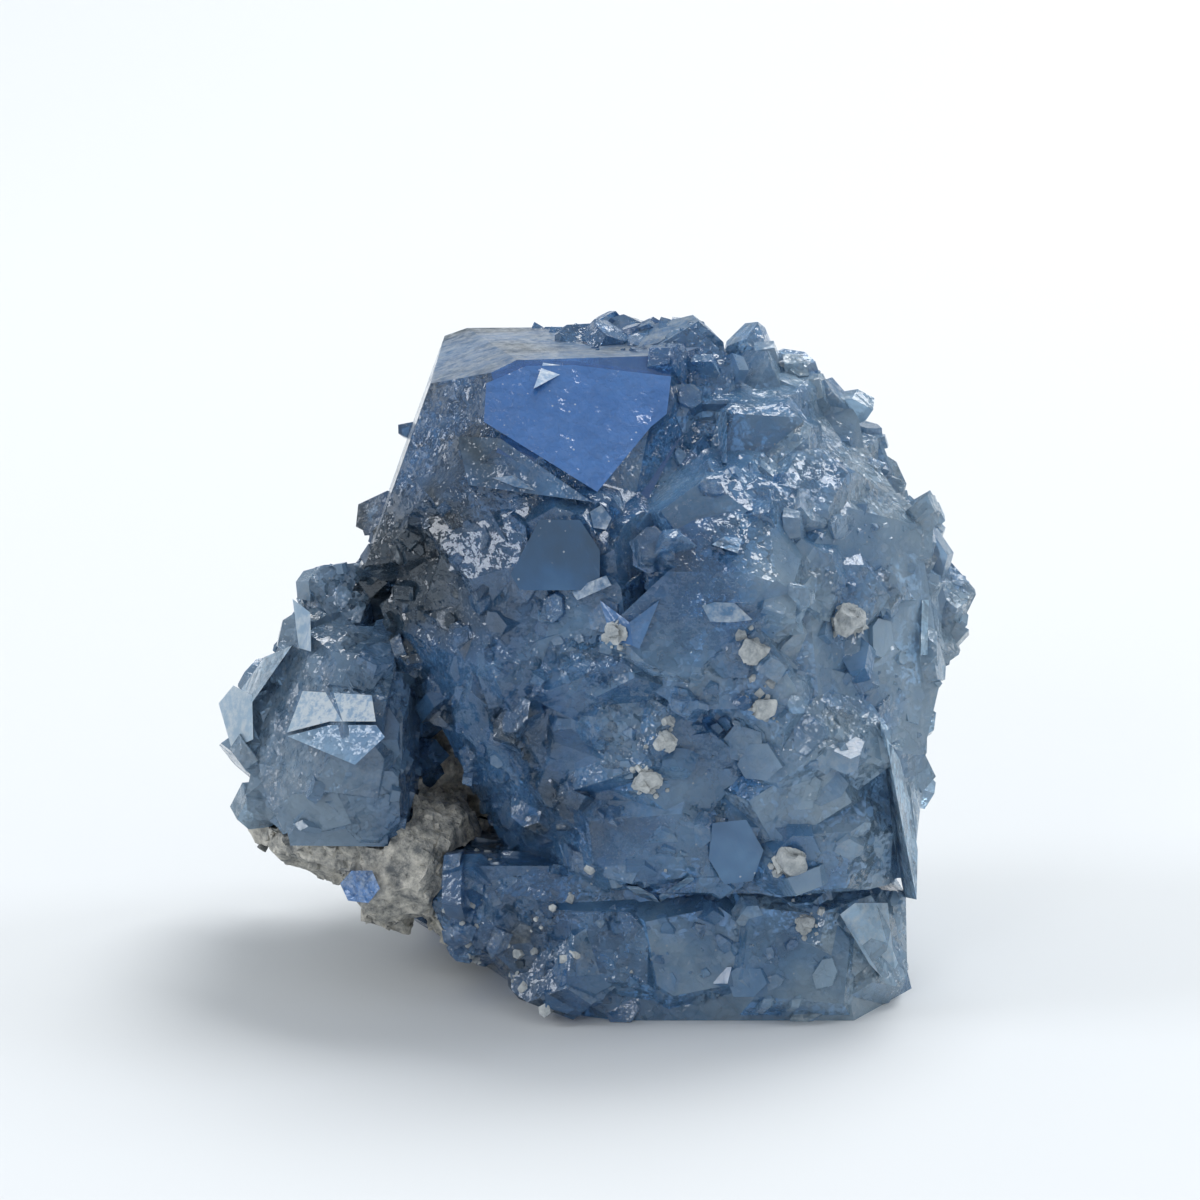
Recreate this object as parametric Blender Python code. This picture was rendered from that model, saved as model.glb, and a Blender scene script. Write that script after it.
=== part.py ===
"""Celestite specimen: grown-together blue crystals on a piece of their rough rock.

Every crystal is a block cut by flat planes, the way a real one is bounded by its faces.
Lengths below are in millimetres. +X is the right of the piece, +Y its back, +Z up.
"""
import math
import random

import bmesh
import bpy
from mathutils import Matrix, Vector
from mathutils.bvhtree import BVHTree

MM = 0.001
GAP = 0.3                  # clear space between two touching pieces
STOCK = 400.0              # cube that every block is cut from
FOOT_LEVEL = 0.0           # height at which the specimen is flat underneath
RIM_LEVEL = 15.4           # height of the sharp lower rim of the large block
SIDE_LEVEL = 19.0          # height at which the left cluster sits on the rock
SIDE_END = -14.6           # how far right it reaches under the large block

GOLDEN_ANGLE = math.pi * (3.0 - math.sqrt(5.0))
OUTSIDE = 80.0             # distance from a body's middle that is outside it all round

# Angles between a celestite crystal's faces and its long axis or its flat side.
ANGLE_SIDE = 52.0
ANGLE_EDGE_FACE = 38.0
ANGLE_ROOF_FACE = 50.6

# Colours as linear red, green, blue.
CRYSTAL_BLUE = (0.075, 0.14, 0.24)
CRYSTAL_PALE = (0.2, 0.3, 0.4)
ROCK_GREY = (0.36, 0.35, 0.3)
CRUMB_CREAM = (0.5, 0.48, 0.42)


def three_point_face(a, b, c, inside):
    """A plane through three corners, as its outward normal and its distance from the origin."""
    a, b, c = Vector(a), Vector(b), Vector(c)
    normal = (b - a).cross(c - a).normalized()
    if normal.dot(Vector(inside) - a) > 0.0:
        normal.negate()
    return normal, normal.dot(a)


def tilted_face(heading, rise, point):
    """A plane through a point. Heading 0 faces the front, 90 the right, and rise is up."""
    heading, rise = math.radians(heading), math.radians(rise)
    normal = Vector((math.sin(heading) * math.cos(rise), -math.cos(heading) * math.cos(rise), math.sin(rise)))
    return normal, normal.dot(Vector(point))


def edge_face(a, b, heading, rise):
    """A plane through two corners that looks as nearly as it can to the heading and rise."""
    along = (Vector(b) - Vector(a)).normalized()
    wish, _ = tilted_face(heading, rise, a)
    normal = (wish - along * wish.dot(along)).normalized()
    return normal, normal.dot(Vector(a))


def crystal_faces(width, thickness, length, ridge):
    """A crystal's planes about its own tip: +Z is the way it grows, the ridge of its tip is along X."""
    side, edge, roof = (math.radians(a) for a in (ANGLE_SIDE, ANGLE_EDGE_FACE, ANGLE_ROOF_FACE))
    faces = [(Vector((0, 0, -1)), length)]
    for sign in (-1, 1):
        faces.append((Vector((0, sign, 0)), thickness / 2))
        faces.append((Vector((0, sign * math.sin(roof), math.cos(roof))), 0.0))
        faces.append((Vector((sign * math.sin(edge), 0, math.cos(edge))), math.sin(edge) * ridge / 2))
        for other in (-1, 1):
            normal = Vector((sign * math.sin(side), other * math.cos(side), 0))
            faces.append((normal, math.sin(side) * width / 2))
    return faces


def placed(faces, tip, heading, rise, roll):
    """The same planes with the tip moved to its place and the growth axis turned to heading and rise."""
    heading, rise = math.radians(heading), math.radians(rise)
    axis = Vector((math.sin(heading) * math.cos(rise), -math.cos(heading) * math.cos(rise), math.sin(rise)))
    turn = axis.to_track_quat("Z", "Y").to_matrix() @ Matrix.Rotation(math.radians(roll), 3, "Z")
    tip = Vector(tip)
    moved = []
    for normal, distance in faces:
        normal = turn @ normal
        moved.append((normal, distance + normal.dot(tip)))
    return moved


def cut_block(faces, grow=0.0):
    """A closed block: a cube with everything outside each plane, and below the foot, cut away."""
    block = bmesh.new()
    bmesh.ops.create_cube(block, size=STOCK)
    foot = (Vector((0, 0, -1)), -FOOT_LEVEL)
    for normal, distance in faces + [foot]:
        everything = block.verts[:] + block.edges[:] + block.faces[:]
        cut = bmesh.ops.bisect_plane(
            block, geom=everything, dist=1e-5, plane_co=normal * (distance + grow),
            plane_no=normal, clear_outer=True)
        rim = [e for e in cut["geom_cut"] if isinstance(e, bmesh.types.BMEdge)]
        if rim:
            bmesh.ops.edgeloop_fill(block, edges=rim)
    bmesh.ops.recalc_face_normals(block, faces=block.faces)
    bmesh.ops.scale(block, vec=(MM, MM, MM), verts=block.verts)
    return block


def as_object(name, block, home):
    """The block as an object in its collection."""
    mesh = bpy.data.meshes.new(name)
    block.to_mesh(mesh)
    block.free()
    thing = bpy.data.objects.new(name, mesh)
    home.objects.link(thing)
    return thing


def combine(base, others, operation, home):
    """The base joined with, or cut by, every other block, as one plain mesh."""
    group = bpy.data.collections.new("operands")
    for other in others:
        home.objects.unlink(other)
        group.objects.link(other)
    step = base.modifiers.new("combine", "BOOLEAN")
    step.operation = operation
    step.operand_type = "COLLECTION"
    step.collection = group
    step.solver = "EXACT"
    bpy.context.view_layer.update()
    result = bpy.data.meshes.new_from_object(base.evaluated_get(bpy.context.evaluated_depsgraph_get()))
    base.modifiers.clear()
    base.data = result
    for other in others:
        bpy.data.objects.remove(other)
    bpy.data.collections.remove(group)


def tidy(thing, smallest=0.005):
    """Merges points that a cut left on top of each other and keeps only the largest body."""
    work = bmesh.new()
    work.from_mesh(thing.data)
    bmesh.ops.triangulate(work, faces=work.faces, ngon_method="EAR_CLIP")
    bmesh.ops.remove_doubles(work, verts=work.verts, dist=smallest * MM)
    bmesh.ops.dissolve_degenerate(work, edges=work.edges, dist=smallest * MM)
    bmesh.ops.triangulate(work, faces=work.faces)
    bodies = []
    left = set(work.faces)
    while left:
        seed = left.pop()
        body, edge_of_body = {seed}, [seed]
        while edge_of_body:
            face = edge_of_body.pop()
            for edge in face.edges:
                for near in edge.link_faces:
                    if near in left:
                        left.discard(near)
                        body.add(near)
                        edge_of_body.append(near)
        bodies.append(body)
    bodies.sort(key=len, reverse=True)
    for body in bodies[1:]:
        bmesh.ops.delete(work, geom=list(body), context="FACES")
    work.to_mesh(thing.data)
    work.free()


# The crown: the large crystal at the top left, with the deep blue kite-shaped face in front.
CROWN_INSIDE = (-4.0, 2.0, 64.0)
CROWN_LEFT_CORNER = (-19.4, -6.0, 71.3)
KITE_LEFT = (-12.1, -12.0, 73.4)
KITE_RIGHT = (8.6, -8.0, 74.1)
KITE_LOW_LEFT = (-12.1, -15.8, 69.6)
KITE_MID_RIGHT = (8.1, -12.0, 70.2)
KITE_LOW_RIGHT = (6.2, -13.6, 68.8)
KITE_FOOT = (0.3, -21.0, 62.4)
KITE_TOP = (2.6, -8.5, 74.7)
GREY_RIGHT = (-8.8, -11.0, 74.7)
CROWN_BACK_LEFT = (-15.2, 14.0, 74.9)
CROWN_BACK = (-6.1, 17.0, 75.0)
KITE_SIDE_END = 9.0        # how far right blocks are kept behind the kite and the faces below it
KITE_LEVEL = 50.0          # and how far down
KITE_COVER = 0.3           # how far out of the faces below the kite a block at its foot may stand
KITE_COVER_DOWN = 0.35     # how much further for each mm below its foot


def kite_faces():
    """The kite-shaped face, then the steeper faces below its left and its right lower edge."""
    return [
        three_point_face(KITE_LEFT, KITE_RIGHT, KITE_FOOT, CROWN_INSIDE),
        edge_face(KITE_LOW_LEFT, KITE_FOOT, -20, 4),
        edge_face(KITE_LOW_RIGHT, KITE_FOOT, 40, 6),
    ]


def behind_kite(place):
    """Planes that keep a block at the place from covering the kite or the faces below it."""
    if place[0] > KITE_SIDE_END or place[2] < KITE_LEVEL:
        return []
    cover = KITE_COVER + max(0.0, KITE_FOOT[2] - place[2]) * KITE_COVER_DOWN
    kite, *sides = kite_faces()
    return [(kite[0], kite[1] - GAP)] + [(normal, distance + cover) for normal, distance in sides]


def crown_faces():
    """The crown's faces, each through three of its corners, and the cuts that end it inside the block."""
    corners = (
        (CROWN_LEFT_CORNER, CROWN_BACK_LEFT, GREY_RIGHT),
        (CROWN_BACK_LEFT, CROWN_BACK, KITE_TOP),
        (CROWN_LEFT_CORNER, KITE_LEFT, (-16.0, -17.0, 60.0)),
        (CROWN_LEFT_CORNER, (-24.2, -4.0, 58.5), (-22.5, 12.0, 64.0)),
    )
    faces = [three_point_face(a, b, c, CROWN_INSIDE) for a, b, c in corners]
    return kite_faces() + faces + [
        edge_face(KITE_MID_RIGHT, KITE_LOW_RIGHT, 40, 20),
        edge_face(KITE_RIGHT, KITE_MID_RIGHT, 62, 20),
        tilted_face(180, 15, (0, 19, 70)),
        tilted_face(180, -35, (0, 20, 60)),
        tilted_face(90, 10, (13.5, 0, 70)),
        tilted_face(0, -8, (0, -21, 62)),
        tilted_face(0, -60, (0, -19, 55)),
    ]


# The slope of the large block under the kite: the level that crystals stand up to, and the level
# that the block itself is sunk to behind them.
SHOULDER = (0, 32, (0, -19, 62))
SHOULDER_SUNK = (0, 46, (0, -15, 62))


def heart_faces(shoulder):
    """The body of the large block behind its crystals."""
    return [
        tilted_face(*shoulder),
        tilted_face(0, 8, (0, -24, 48)),
        tilted_face(0, -6, (0, -25.5, 22)),
        tilted_face(-45, 14, (-17, -16, 52)),
        tilted_face(-50, -18, (-18, -16, 38)),
        tilted_face(-28, -40, (-8, -23, 24)),
        tilted_face(-90, 12, (-22.6, 0, 52)),
        tilted_face(-95, -28, (-20, 5, 38)),
        tilted_face(0, 80, (0, 5, 70)),
        tilted_face(20, 50, (18, -10, 67)),
        tilted_face(60, 50, (24, -4, 67.5)),
        tilted_face(88, 36, (34, 0, 60)),
        tilted_face(82, 10, (40, 0, 48)),
        tilted_face(95, -18, (40.5, 0, 42)),
        tilted_face(42, 10, (31, -18, 46)),
        tilted_face(38, -8, (30, -21, 24)),
        tilted_face(150, 30, (20, 18, 60)),
        tilted_face(180, 12, (0, 23, 50)),
        tilted_face(180, -12, (0, 25, 25)),
        tilted_face(-140, 15, (-16, 16, 50)),
        tilted_face(0, -90, (0, 0, RIM_LEVEL)),
    ]


def base_faces():
    """The lower layer that the specimen stands on, under the front rim of the large block."""
    return [
        tilted_face(0, 10, (0, -23.0, 8)),
        tilted_face(55, 14, (33, -16, 8)),
        tilted_face(93, 14, (34.6, 0, 8)),
        tilted_face(180, -20, (0, 22, 6)),
        tilted_face(-22, -28, (-8, -22, 3)),
        tilted_face(-62, -42, (-12, -12, 2)),
        tilted_face(-84, 6, (-19.2, -8, 10)),
        tilted_face(0, 90, (0, 0, RIM_LEVEL + 2.2)),
    ]


# The crystals that stand out of the large block, chosen one by one. Each row is the tip's place,
# the heading and rise that it points to, its roll, then its width, thickness, length and ridge.
MAIN_CRYSTALS = (
    ((20.0, -2.5, 74.0), 18, 58, 80, 10, 9, 24, 2.0),
    ((19.2, 6.0, 77.0), 30, 66, 60, 6, 6, 20, 0.3),
    ((24.0, 2.0, 72.8), 70, 55, 30, 7, 6, 18, 1.0),
    ((12.4, -4.6, 74.0), 4, 84, 5, 9, 8.5, 16, 6.0),
    ((9.6, -9.0, 71.6), 0, 80, 0, 5, 5, 10, 3.0),
    ((-2.2, 6.0, 76.8), -10, 84, 20, 6, 4.5, 10, 3.0),
    ((6.2, 4.0, 76.6), 5, 76, 80, 9, 6, 12, 4.0),
    ((9.6, 8.0, 75.4), 40, 70, 10, 6, 6, 12, 1.5),
    ((26.5, 2.0, 71.5), 75, 48, 15, 8, 8, 20, 1.5),
    ((30.5, -1.0, 67.0), 70, 45, 60, 9, 8, 20, 1.5),
    ((33.5, 2.0, 63.5), 80, 40, 20, 8, 7, 18, 1.0),
    ((36.0, -3.0, 59.0), 70, 35, 80, 9, 7, 18, 1.0),
    ((38.5, 2.0, 55.5), 84, 30, 10, 8, 7, 18, 1.0),
    ((40.5, -3.0, 51.0), 80, 20, 70, 8, 7, 18, 1.0),
    ((45.2, -1.0, 45.5), 88, 8, 40, 11, 9, 20, 0.8),
    ((43.0, -5.0, 39.0), 80, -18, 20, 9, 7, 18, 1.0),
    ((39.0, -9.0, 35.0), 70, -10, 50, 8, 7, 16, 1.0),
    ((41.5, 8.0, 33.0), 95, 8, 70, 8, 12, 20, 2.0),
    ((40.5, 5.0, 26.0), 90, 0, 90, 7, 14, 20, 4.0),
    ((39.5, 6.0, 18.0), 90, -5, 90, 7, 12, 20, 4.0),
    ((-23.2, -3.0, 58.5), -75, 20, 90, 5, 9, 16, 3.0),
    ((-22.5, 12.0, 59.0), -110, 30, 20, 11, 9, 20, 1.5),
)

# Flat faces on the front, chosen one by one: the middle, the heading and rise that the face looks
# to, its roll, and its length and width.
FRONT_FACES = (
    ((11.8, -9.0, 72.1), 4, 6, 0, 7.5, 5.5),
    ((14.0, -13.0, 66.0), -38, 18, 85, 7.0, 2.0),
    ((18.4, -10.0, 67.5), 8, 28, 80, 12.0, 6.5),
    ((-12.5, -19.5, 58.5), -22, -6, 30, 10.0, 7.0),
    ((-4.2, -24.2, 54.5), -8, 8, 40, 9.5, 8.0),
    ((0.5, -24.2, 59.0), 18, 22, 20, 3.5, 3.5),
    ((-0.6, -27.0, 51.4), -16, 44, 18, 5.5, 2.2),
    ((-15.1, -19.0, 49.0), -32, 4, 70, 12.0, 9.0),
    ((-9.5, -23.0, 49.5), -14, -14, 20, 8.0, 7.0),
    ((4.7, -25.2, 54.4), 14, 22, 60, 8.5, 6.0),
    ((2.0, -27.4, 45.8), -26, 18, -58, 8.0, 4.0),
    ((5.6, -27.4, 45.8), 30, 20, 58, 8.0, 4.0),
    ((8.0, -27.0, 51.5), 6, 40, 30, 6.0, 5.0),
    ((14.1, -28.0, 48.8), 6, 56, 0, 6.5, 3.4),
    ((14.5, -26.4, 56.0), 0, 54, 4, 4.2, 2.2),
    ((12.0, -23.5, 59.5), -10, 26, 40, 8.0, 6.0),
    ((19.3, -22.4, 59.0), 22, 30, 70, 7.5, 6.5),
    ((28.4, -15.5, 57.0), 30, 36, 20, 7.0, 6.0),
    ((24.5, -17.5, 62.0), 20, 44, 50, 8.0, 6.0),
    ((32.0, -12.5, 57.5), 48, 30, 60, 6.0, 5.5),
    ((22.8, -23.4, 52.6), 12, 16, -30, 8.0, 6.5),
    ((28.7, -20.4, 48.6), 28, 8, 40, 8.0, 7.0),
    ((35.2, -12.5, 51.0), 52, 18, 80, 8.0, 6.0),
    ((39.4, -8.0, 44.5), 64, 6, 60, 7.0, 6.0),
    ((13.7, -27.0, 39.8), 34, -26, -50, 17.0, 5.0),
    ((17.5, -28.0, 42.5), 10, 18, -46, 14.0, 5.0),
    ((-5.5, -25.2, 39.5), -16, 4, 20, 15.0, 11.0),
    ((4.8, -28.2, 36.8), 6, 14, -30, 9.0, 7.0),
    ((10.5, -29.0, 44.6), -24, -10, 64, 8.0, 5.0),
    ((17.8, -29.2, 49.6), 22, -12, 10, 8.0, 5.5),
    ((0.6, -28.6, 42.6), -20, 12, 30, 6.0, 5.0),
    ((9.2, -28.6, 35.0), 28, 4, 70, 8.0, 4.5),
    ((20.5, -28.2, 33.6), -14, 10, 40, 8.0, 6.0),
    ((-11.0, -22.0, 32.5), -34, -22, -40, 12.0, 7.0),
    ((-0.8, -27.0, 28.4), -10, -12, -20, 11.0, 8.0),
    ((11.0, -28.0, 30.0), 12, 2, 50, 10.0, 8.0),
    ((5.9, -28.4, 21.8), -4, -10, 6, 13.0, 8.0),
    ((14.7, -27.6, 20.2), 16, -16, 80, 9.0, 5.5),
    ((22.8, -27.4, 27.0), 14, -4, 30, 10.0, 7.0),
    ((24.5, -25.0, 38.0), 24, 14, -20, 11.0, 8.0),
    ((30.5, -22.4, 26.8), 34, -4, 70, 11.0, 7.0),
    ((32.5, -17.0, 37.5), 46, -12, 20, 10.0, 8.0),
    ((26.5, -26.6, 19.8), 14, -8, 0, 12.0, 7.0),
    ((37.6, -14.0, 24.0), 68, 10, 84, 19.0, 6.0),
    ((0.3, -24.6, 9.0), -6, 14, 0, 11.0, 8.0),
    ((11.7, -25.0, 8.6), 4, 10, 10, 11.0, 9.0),
    ((22.8, -25.0, 8.0), 8, 14, -8, 12.0, 10.0),
    ((34.0, -18.5, 8.0), 52, 16, 70, 11.0, 7.0),
    ((-7.0, -23.0, 8.0), -20, -6, -30, 9.0, 7.0),
    ((-14.5, -20.5, 10.5), -30, -14, 20, 9.0, 8.0),
)

SIDE_CRYSTALS = (
    ((-30.5, -4.0, 49.4), -6, 66, 15, 10, 9, 26, 4.5),
    ((-26.5, -1.0, 49.6), 10, 66, 60, 7, 7, 22, 3.0),
    ((-36.6, -6.0, 43.5), -60, 45, 50, 8, 7, 22, 1.5),
    ((-39.6, -7.0, 37.8), -64, 34, 20, 8, 7, 22, 1.5),
    ((-42.5, -6.5, 33.5), -72, 30, 30, 9, 7, 20, 1.5),
    ((-45.0, -6.0, 28.0), -80, 8, 20, 11, 9, 24, 2.5),
    ((-38.0, -14.0, 27.5), -50, 12, 10, 11, 9, 22, 2.0),
    ((-41.5, -10.0, 22.0), -60, -14, 70, 9, 8, 18, 2.0),
    ((-27.0, 8.0, 47.0), -140, 55, 10, 12, 9, 22, 2.0),
    ((-37.0, 8.0, 40.0), -120, 40, 40, 11, 9, 22, 2.0),
    ((-41.0, 6.0, 28.0), -110, 10, 60, 11, 9, 22, 2.0),
)

SIDE_FACES = (
    ((-30.0, -14.6, 43.0), -6, 10, 84, 11.0, 9.0),
    ((-35.6, -11.0, 42.5), -48, 16, 78, 10.0, 5.0),
    ((-29.5, -20.8, 29.5), 6, -8, -10, 10.0, 7.0),
    ((-36.5, -16.5, 30.5), -42, 4, 50, 9.0, 6.0),
    ((-37.5, -13.5, 36.0), -44, 34, 60, 7.0, 3.5),
    ((-33.5, -18.5, 24.0), -20, -12, 20, 9.0, 7.0),
    ((-25.5, -19.5, 24.5), 4, -4, 40, 8.0, 7.0),
    ((-22.0, -17.5, 30.5), 20, 6, 70, 6.0, 5.0),
)


# The cluster's ledge, a flat face that looks up under its tallest crystal.
LEDGE = (-4, 54, (-30.3, -18.6, 35.4))
LEDGE_LEVEL = 37.0
LEDGE_END = -38.5
LEDGE_COVER = 0.01         # share of its height that keeps one block's cut off the next one's


def below_ledge(place):
    """The ledge's plane, which ends a block that stands in front of the tallest crystal."""
    if place[2] > LEDGE_LEVEL or place[0] < LEDGE_END:
        return []
    normal, distance = tilted_face(*LEDGE)
    return [(normal, distance - LEDGE_COVER * place[2])]


def side_heart_faces():
    """The body of the smaller cluster on the left."""
    return [
        tilted_face(*LEDGE),
        tilted_face(-2, -5, (0, -20.1, 30)),
        tilted_face(-50, 22, (-36, -9, 34)),
        tilted_face(-80, -10, (-40, 0, 26)),
        tilted_face(-90, 48, (-35, 0, 39)),
        tilted_face(0, 75, (-30, 0, 43)),
        tilted_face(180, 20, (-30, 14, 35)),
        tilted_face(80, 0, (-21, 0, 40)),
        tilted_face(0, -90, (0, 0, SIDE_LEVEL)),
    ]


FRONT_PROUD = 6.0          # how far a flat face may stand out of the front of the large block
EDGE_PROUD = 2.2           # and out of the rest of it
SIDE_PROUD = 1.6           # and out of the smaller cluster
MAIN_MIDDLE = (6.0, 0.0, 40.0)
SIDE_MIDDLE = (-31.0, 0.0, 32.0)
ROCK_MIDDLE = (-4.0, 8.0, 22.0)

# Places, each with its reach, where no crystals are set by rule: the crown's large faces, and the
# front of each body.
CROWN_CLEAR = (
    ((-3.0, -13.0, 71.0), 13.5),
    ((-12.0, 3.0, 74.5), 11.0),
    ((-15.0, 14.0, 75.4), 7.0),
    ((-23.0, -4.0, 62.0), 11.0),
    ((-22.0, 8.0, 66.0), 14.0),
    ((-23.0, 4.0, 50.0), 9.0),
    ((-22.0, -6.0, 52.0), 8.0),
    ((-21.0, 15.0, 54.0), 11.0),
    ((-19.0, 17.0, 66.0), 10.0),
    ((14.0, 6.0, 74.0), 5.5),
    ((28.0, -6.0, 67.0), 6.0),
)
FRONT_CLEAR = ((6.0, -26.0, 38.0), 34.0)
SIDE_CLEAR = ((-30.0, -18.0, 34.0), 10.0)
COVER_DEPTH = 1.0          # crystals this deep inside a neighbour would not be seen, and are left out

# Crystals that fill a body's surface by rule: how many places are tried, the crystals' width,
# how far their tips stand out, and their length.
SMALL_DRUSE = {"sites": 168, "width": (5.5, 9.5), "stand": (0.4, 2.0), "length": 9.0, "seed": 11}
LARGE_DRUSE = {"sites": 46, "width": (11.0, 17.0), "stand": (2.0, 4.2), "length": 16.0, "seed": 4}
SIDE_DRUSE = {"sites": 44, "width": (5.0, 8.5), "stand": (0.6, 2.2), "length": 9.0, "seed": 9}


def even_ways(count):
    """Directions spread evenly over a sphere, along a spiral that turns by the golden angle."""
    for index in range(count):
        height = 1.0 - 2.0 * (index + 0.5) / count
        ring = math.sqrt(1.0 - height * height)
        around = GOLDEN_ANGLE * index
        yield Vector((ring * math.cos(around), ring * math.sin(around), height))


def surface_of(body):
    """The body's surface, ready to be met by straight lines."""
    shape = bmesh.new()
    shape.from_mesh(body.data)
    tree = BVHTree.FromBMesh(shape)
    shape.free()
    return tree


def sunk(place, blocks, deep):
    """Whether a place lies that deep inside one of the blocks."""
    return any(all(normal.dot(place) < distance - deep for normal, distance in faces) for faces in blocks)


def druse(body, middle, keep_clear, covers, sites, width, stand, length, seed):
    """Crystals whose tips stand a little out of the body, turned by chance around its own outward way."""
    chance = random.Random(seed)
    tree = surface_of(body)
    blocks = []
    for way in even_ways(sites):
        wide = chance.uniform(*width)
        proud = chance.uniform(*stand)
        lean = Vector([chance.uniform(-0.45, 0.45) for _ in range(3)])
        roll = chance.uniform(0.0, 180.0)
        slim = chance.uniform(0.6, 0.95)
        ridge = chance.uniform(0.1, 0.4)
        place, normal, _, _ = tree.ray_cast((Vector(middle) + way * OUTSIDE) * MM, -way)
        if place is None or normal.z < -0.75 or place.z < 3.0 * MM:
            continue
        place = place / MM
        if any((place - Vector(spot)).length < reach for spot, reach in keep_clear):
            continue
        if sunk(place, covers, COVER_DEPTH):
            continue
        axis = (normal + way * 0.5 + lean).normalized()
        heading = math.degrees(math.atan2(axis.x, -axis.y))
        rise = math.degrees(math.asin(axis.z))
        form = crystal_faces(wide, wide * slim, length, wide * ridge)
        blocks.append(placed(form, place + normal * proud, heading, rise, roll) + rim_side(place))
    return blocks


def rim_side(place):
    """The plane of the rim, which ends a block on the side of it that its place is on."""
    if place[2] > RIM_LEVEL:
        return [tilted_face(0, -90, (0, 0, RIM_LEVEL))]
    return [tilted_face(0, 90, (0, 0, RIM_LEVEL + 1.0))]


def within(body_faces, proud, front_proud):
    """The body's own planes moved out, so that what is set on it stands only that proud."""
    return [
        (normal, distance + proud + (front_proud - proud) * max(0.0, -normal.y) ** 4)
        for normal, distance in body_faces]


def face_block(middle, heading, rise, roll, length, width, flare=38.0, deep=7.5):
    """A block behind one flat face: a rectangle with two corners cut, its sides spreading inward."""
    normal, distance = tilted_face(heading, rise, middle)
    level = Vector((0, 0, 1)).cross(normal).normalized()
    turn = Matrix.Rotation(math.radians(roll), 3, normal)
    along = turn @ level
    across = normal.cross(along)
    middle = Vector(middle)
    lean, upright = math.sin(math.radians(flare)), math.cos(math.radians(flare))
    faces = [(normal, distance), (-normal, deep - distance)]
    sides = [
        (along, length / 2), (-along, length / 2), (across, width / 2), (-across, width / 2),
        ((along + across).normalized(), 0.38 * (length + width) / 1.414),
        ((-along - across).normalized(), 0.42 * (length + width) / 1.414),
    ]
    for way, reach in sides:
        slant = way * upright + normal * lean
        faces.append((slant, slant.dot(middle + way * reach)))
    return faces


# The rough rock: lumps under and behind the crystals. Each row is the middle and the half sizes.
ROCK_LUMPS = (
    ((-28.5, -4.0, 18.6), (12.5, 15.5, 7.2)),
    ((-22.5, -8.0, 15.5), (9.5, 14.5, 7.8)),
    ((-12.0, -6.0, 9.5), (10.0, 15.5, 7.0)),
    ((-4.0, -12.0, 4.5), (9.0, 10.0, 4.4)),
    ((0.0, 13.0, 24.0), (34.0, 18.0, 26.0)),
    ((4.0, 16.0, 38.0), (26.0, 13.0, 22.0)),
    ((-20.0, 10.0, 24.0), (18.0, 15.0, 16.0)),
)
ROCK_SEED = 14
ROCK_FACES = 46
KNOBS = 46
KNOB_SIZE = (2.2, 5.0)
KNOB_SUNK = 1.2


def lump_faces(middle, halves, seed, faces=ROCK_FACES):
    """A rough lump: many planes touching an egg shape, each set in or out a little by chance."""
    chance = random.Random(seed)
    planes = []
    for way in even_ways(faces):
        way.rotate(Matrix.Rotation(chance.uniform(-0.3, 0.3), 3, "Z"))
        way.z += chance.uniform(-0.1, 0.1)
        normal = way.normalized()
        reach = math.sqrt(sum((n * h) ** 2 for n, h in zip(normal, halves)))
        reach *= chance.uniform(0.8, 1.0)
        planes.append((normal, normal.dot(Vector(middle)) + reach))
    return planes


def knobs(body, middle):
    """Small lumps half sunk in the rock, spread evenly over it by rule."""
    chance = random.Random(ROCK_SEED)
    tree = surface_of(body)
    blocks = []
    for index, way in enumerate(even_ways(KNOBS)):
        halves = [chance.uniform(*KNOB_SIZE) for _ in range(3)]
        place, _, _, _ = tree.ray_cast((Vector(middle) + way * OUTSIDE) * MM, -way)
        if place is not None and way.z < 0.8:
            blocks.append(lump_faces(place / MM - way * KNOB_SUNK, halves, index, faces=13))
    return blocks


# Crumbs of the rock left on the front of the crystals: place across, height and size.
CRUMBS = (
    (7.6, 34.4, 3.0),
    (5.4, 30.4, 4.0),
    (18.2, 38.6, 3.0),
    (17.2, 44.6, 4.0),
    (2.2, 47.0, 3.0),
    (27.8, 46.6, 5.0),
    (21.6, 20.6, 4.4),
    (23.6, 11.4, 2.6),
)
CRUMB_SUNK = 0.1           # share of its size that a crumb's middle lies outside the crystal


def crumb_faces(crystals, across, height, size, seed):
    """A crumb where a line from the front at that place meets the crystals."""
    start = Vector((across, -OUTSIDE, height)) * MM
    place, normal, _, _ = surface_of(crystals).ray_cast(start, Vector((0, 1, 0)))
    middle = place / MM + normal * size * CRUMB_SUNK
    return lump_faces(middle, (size * 0.5, size * 0.4, size * 0.42), seed, faces=22)


def joined(name, blocks, home):
    """All the blocks as one solid."""
    base = as_object(name, cut_block(blocks[0]), home)
    others = [as_object("block", cut_block(faces), home) for faces in blocks[1:]]
    combine(base, others, "UNION", home)
    tidy(base)
    return base


def corners_of(points):
    """The lowest and highest corner of a box around the points."""
    points = list(points)
    return [[pick(p[axis] for p in points) for axis in range(3)] for pick in (min, max)]


def cut_clear(thing, blocks, home):
    """Takes the blocks that reach the thing, each grown by the gap, out of it."""
    low, high = corners_of(v.co for v in thing.data.vertices)
    cutters = []
    for faces in blocks:
        block = cut_block(faces, GAP)
        block_low, block_high = corners_of(v.co for v in block.verts)
        if all(block_low[a] < high[a] and block_high[a] > low[a] for a in range(3)):
            cutters.append(as_object("cutter", block, home))
        else:
            block.free()
    if cutters:
        combine(thing, cutters, "DIFFERENCE", home)
        tidy(thing)


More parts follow.
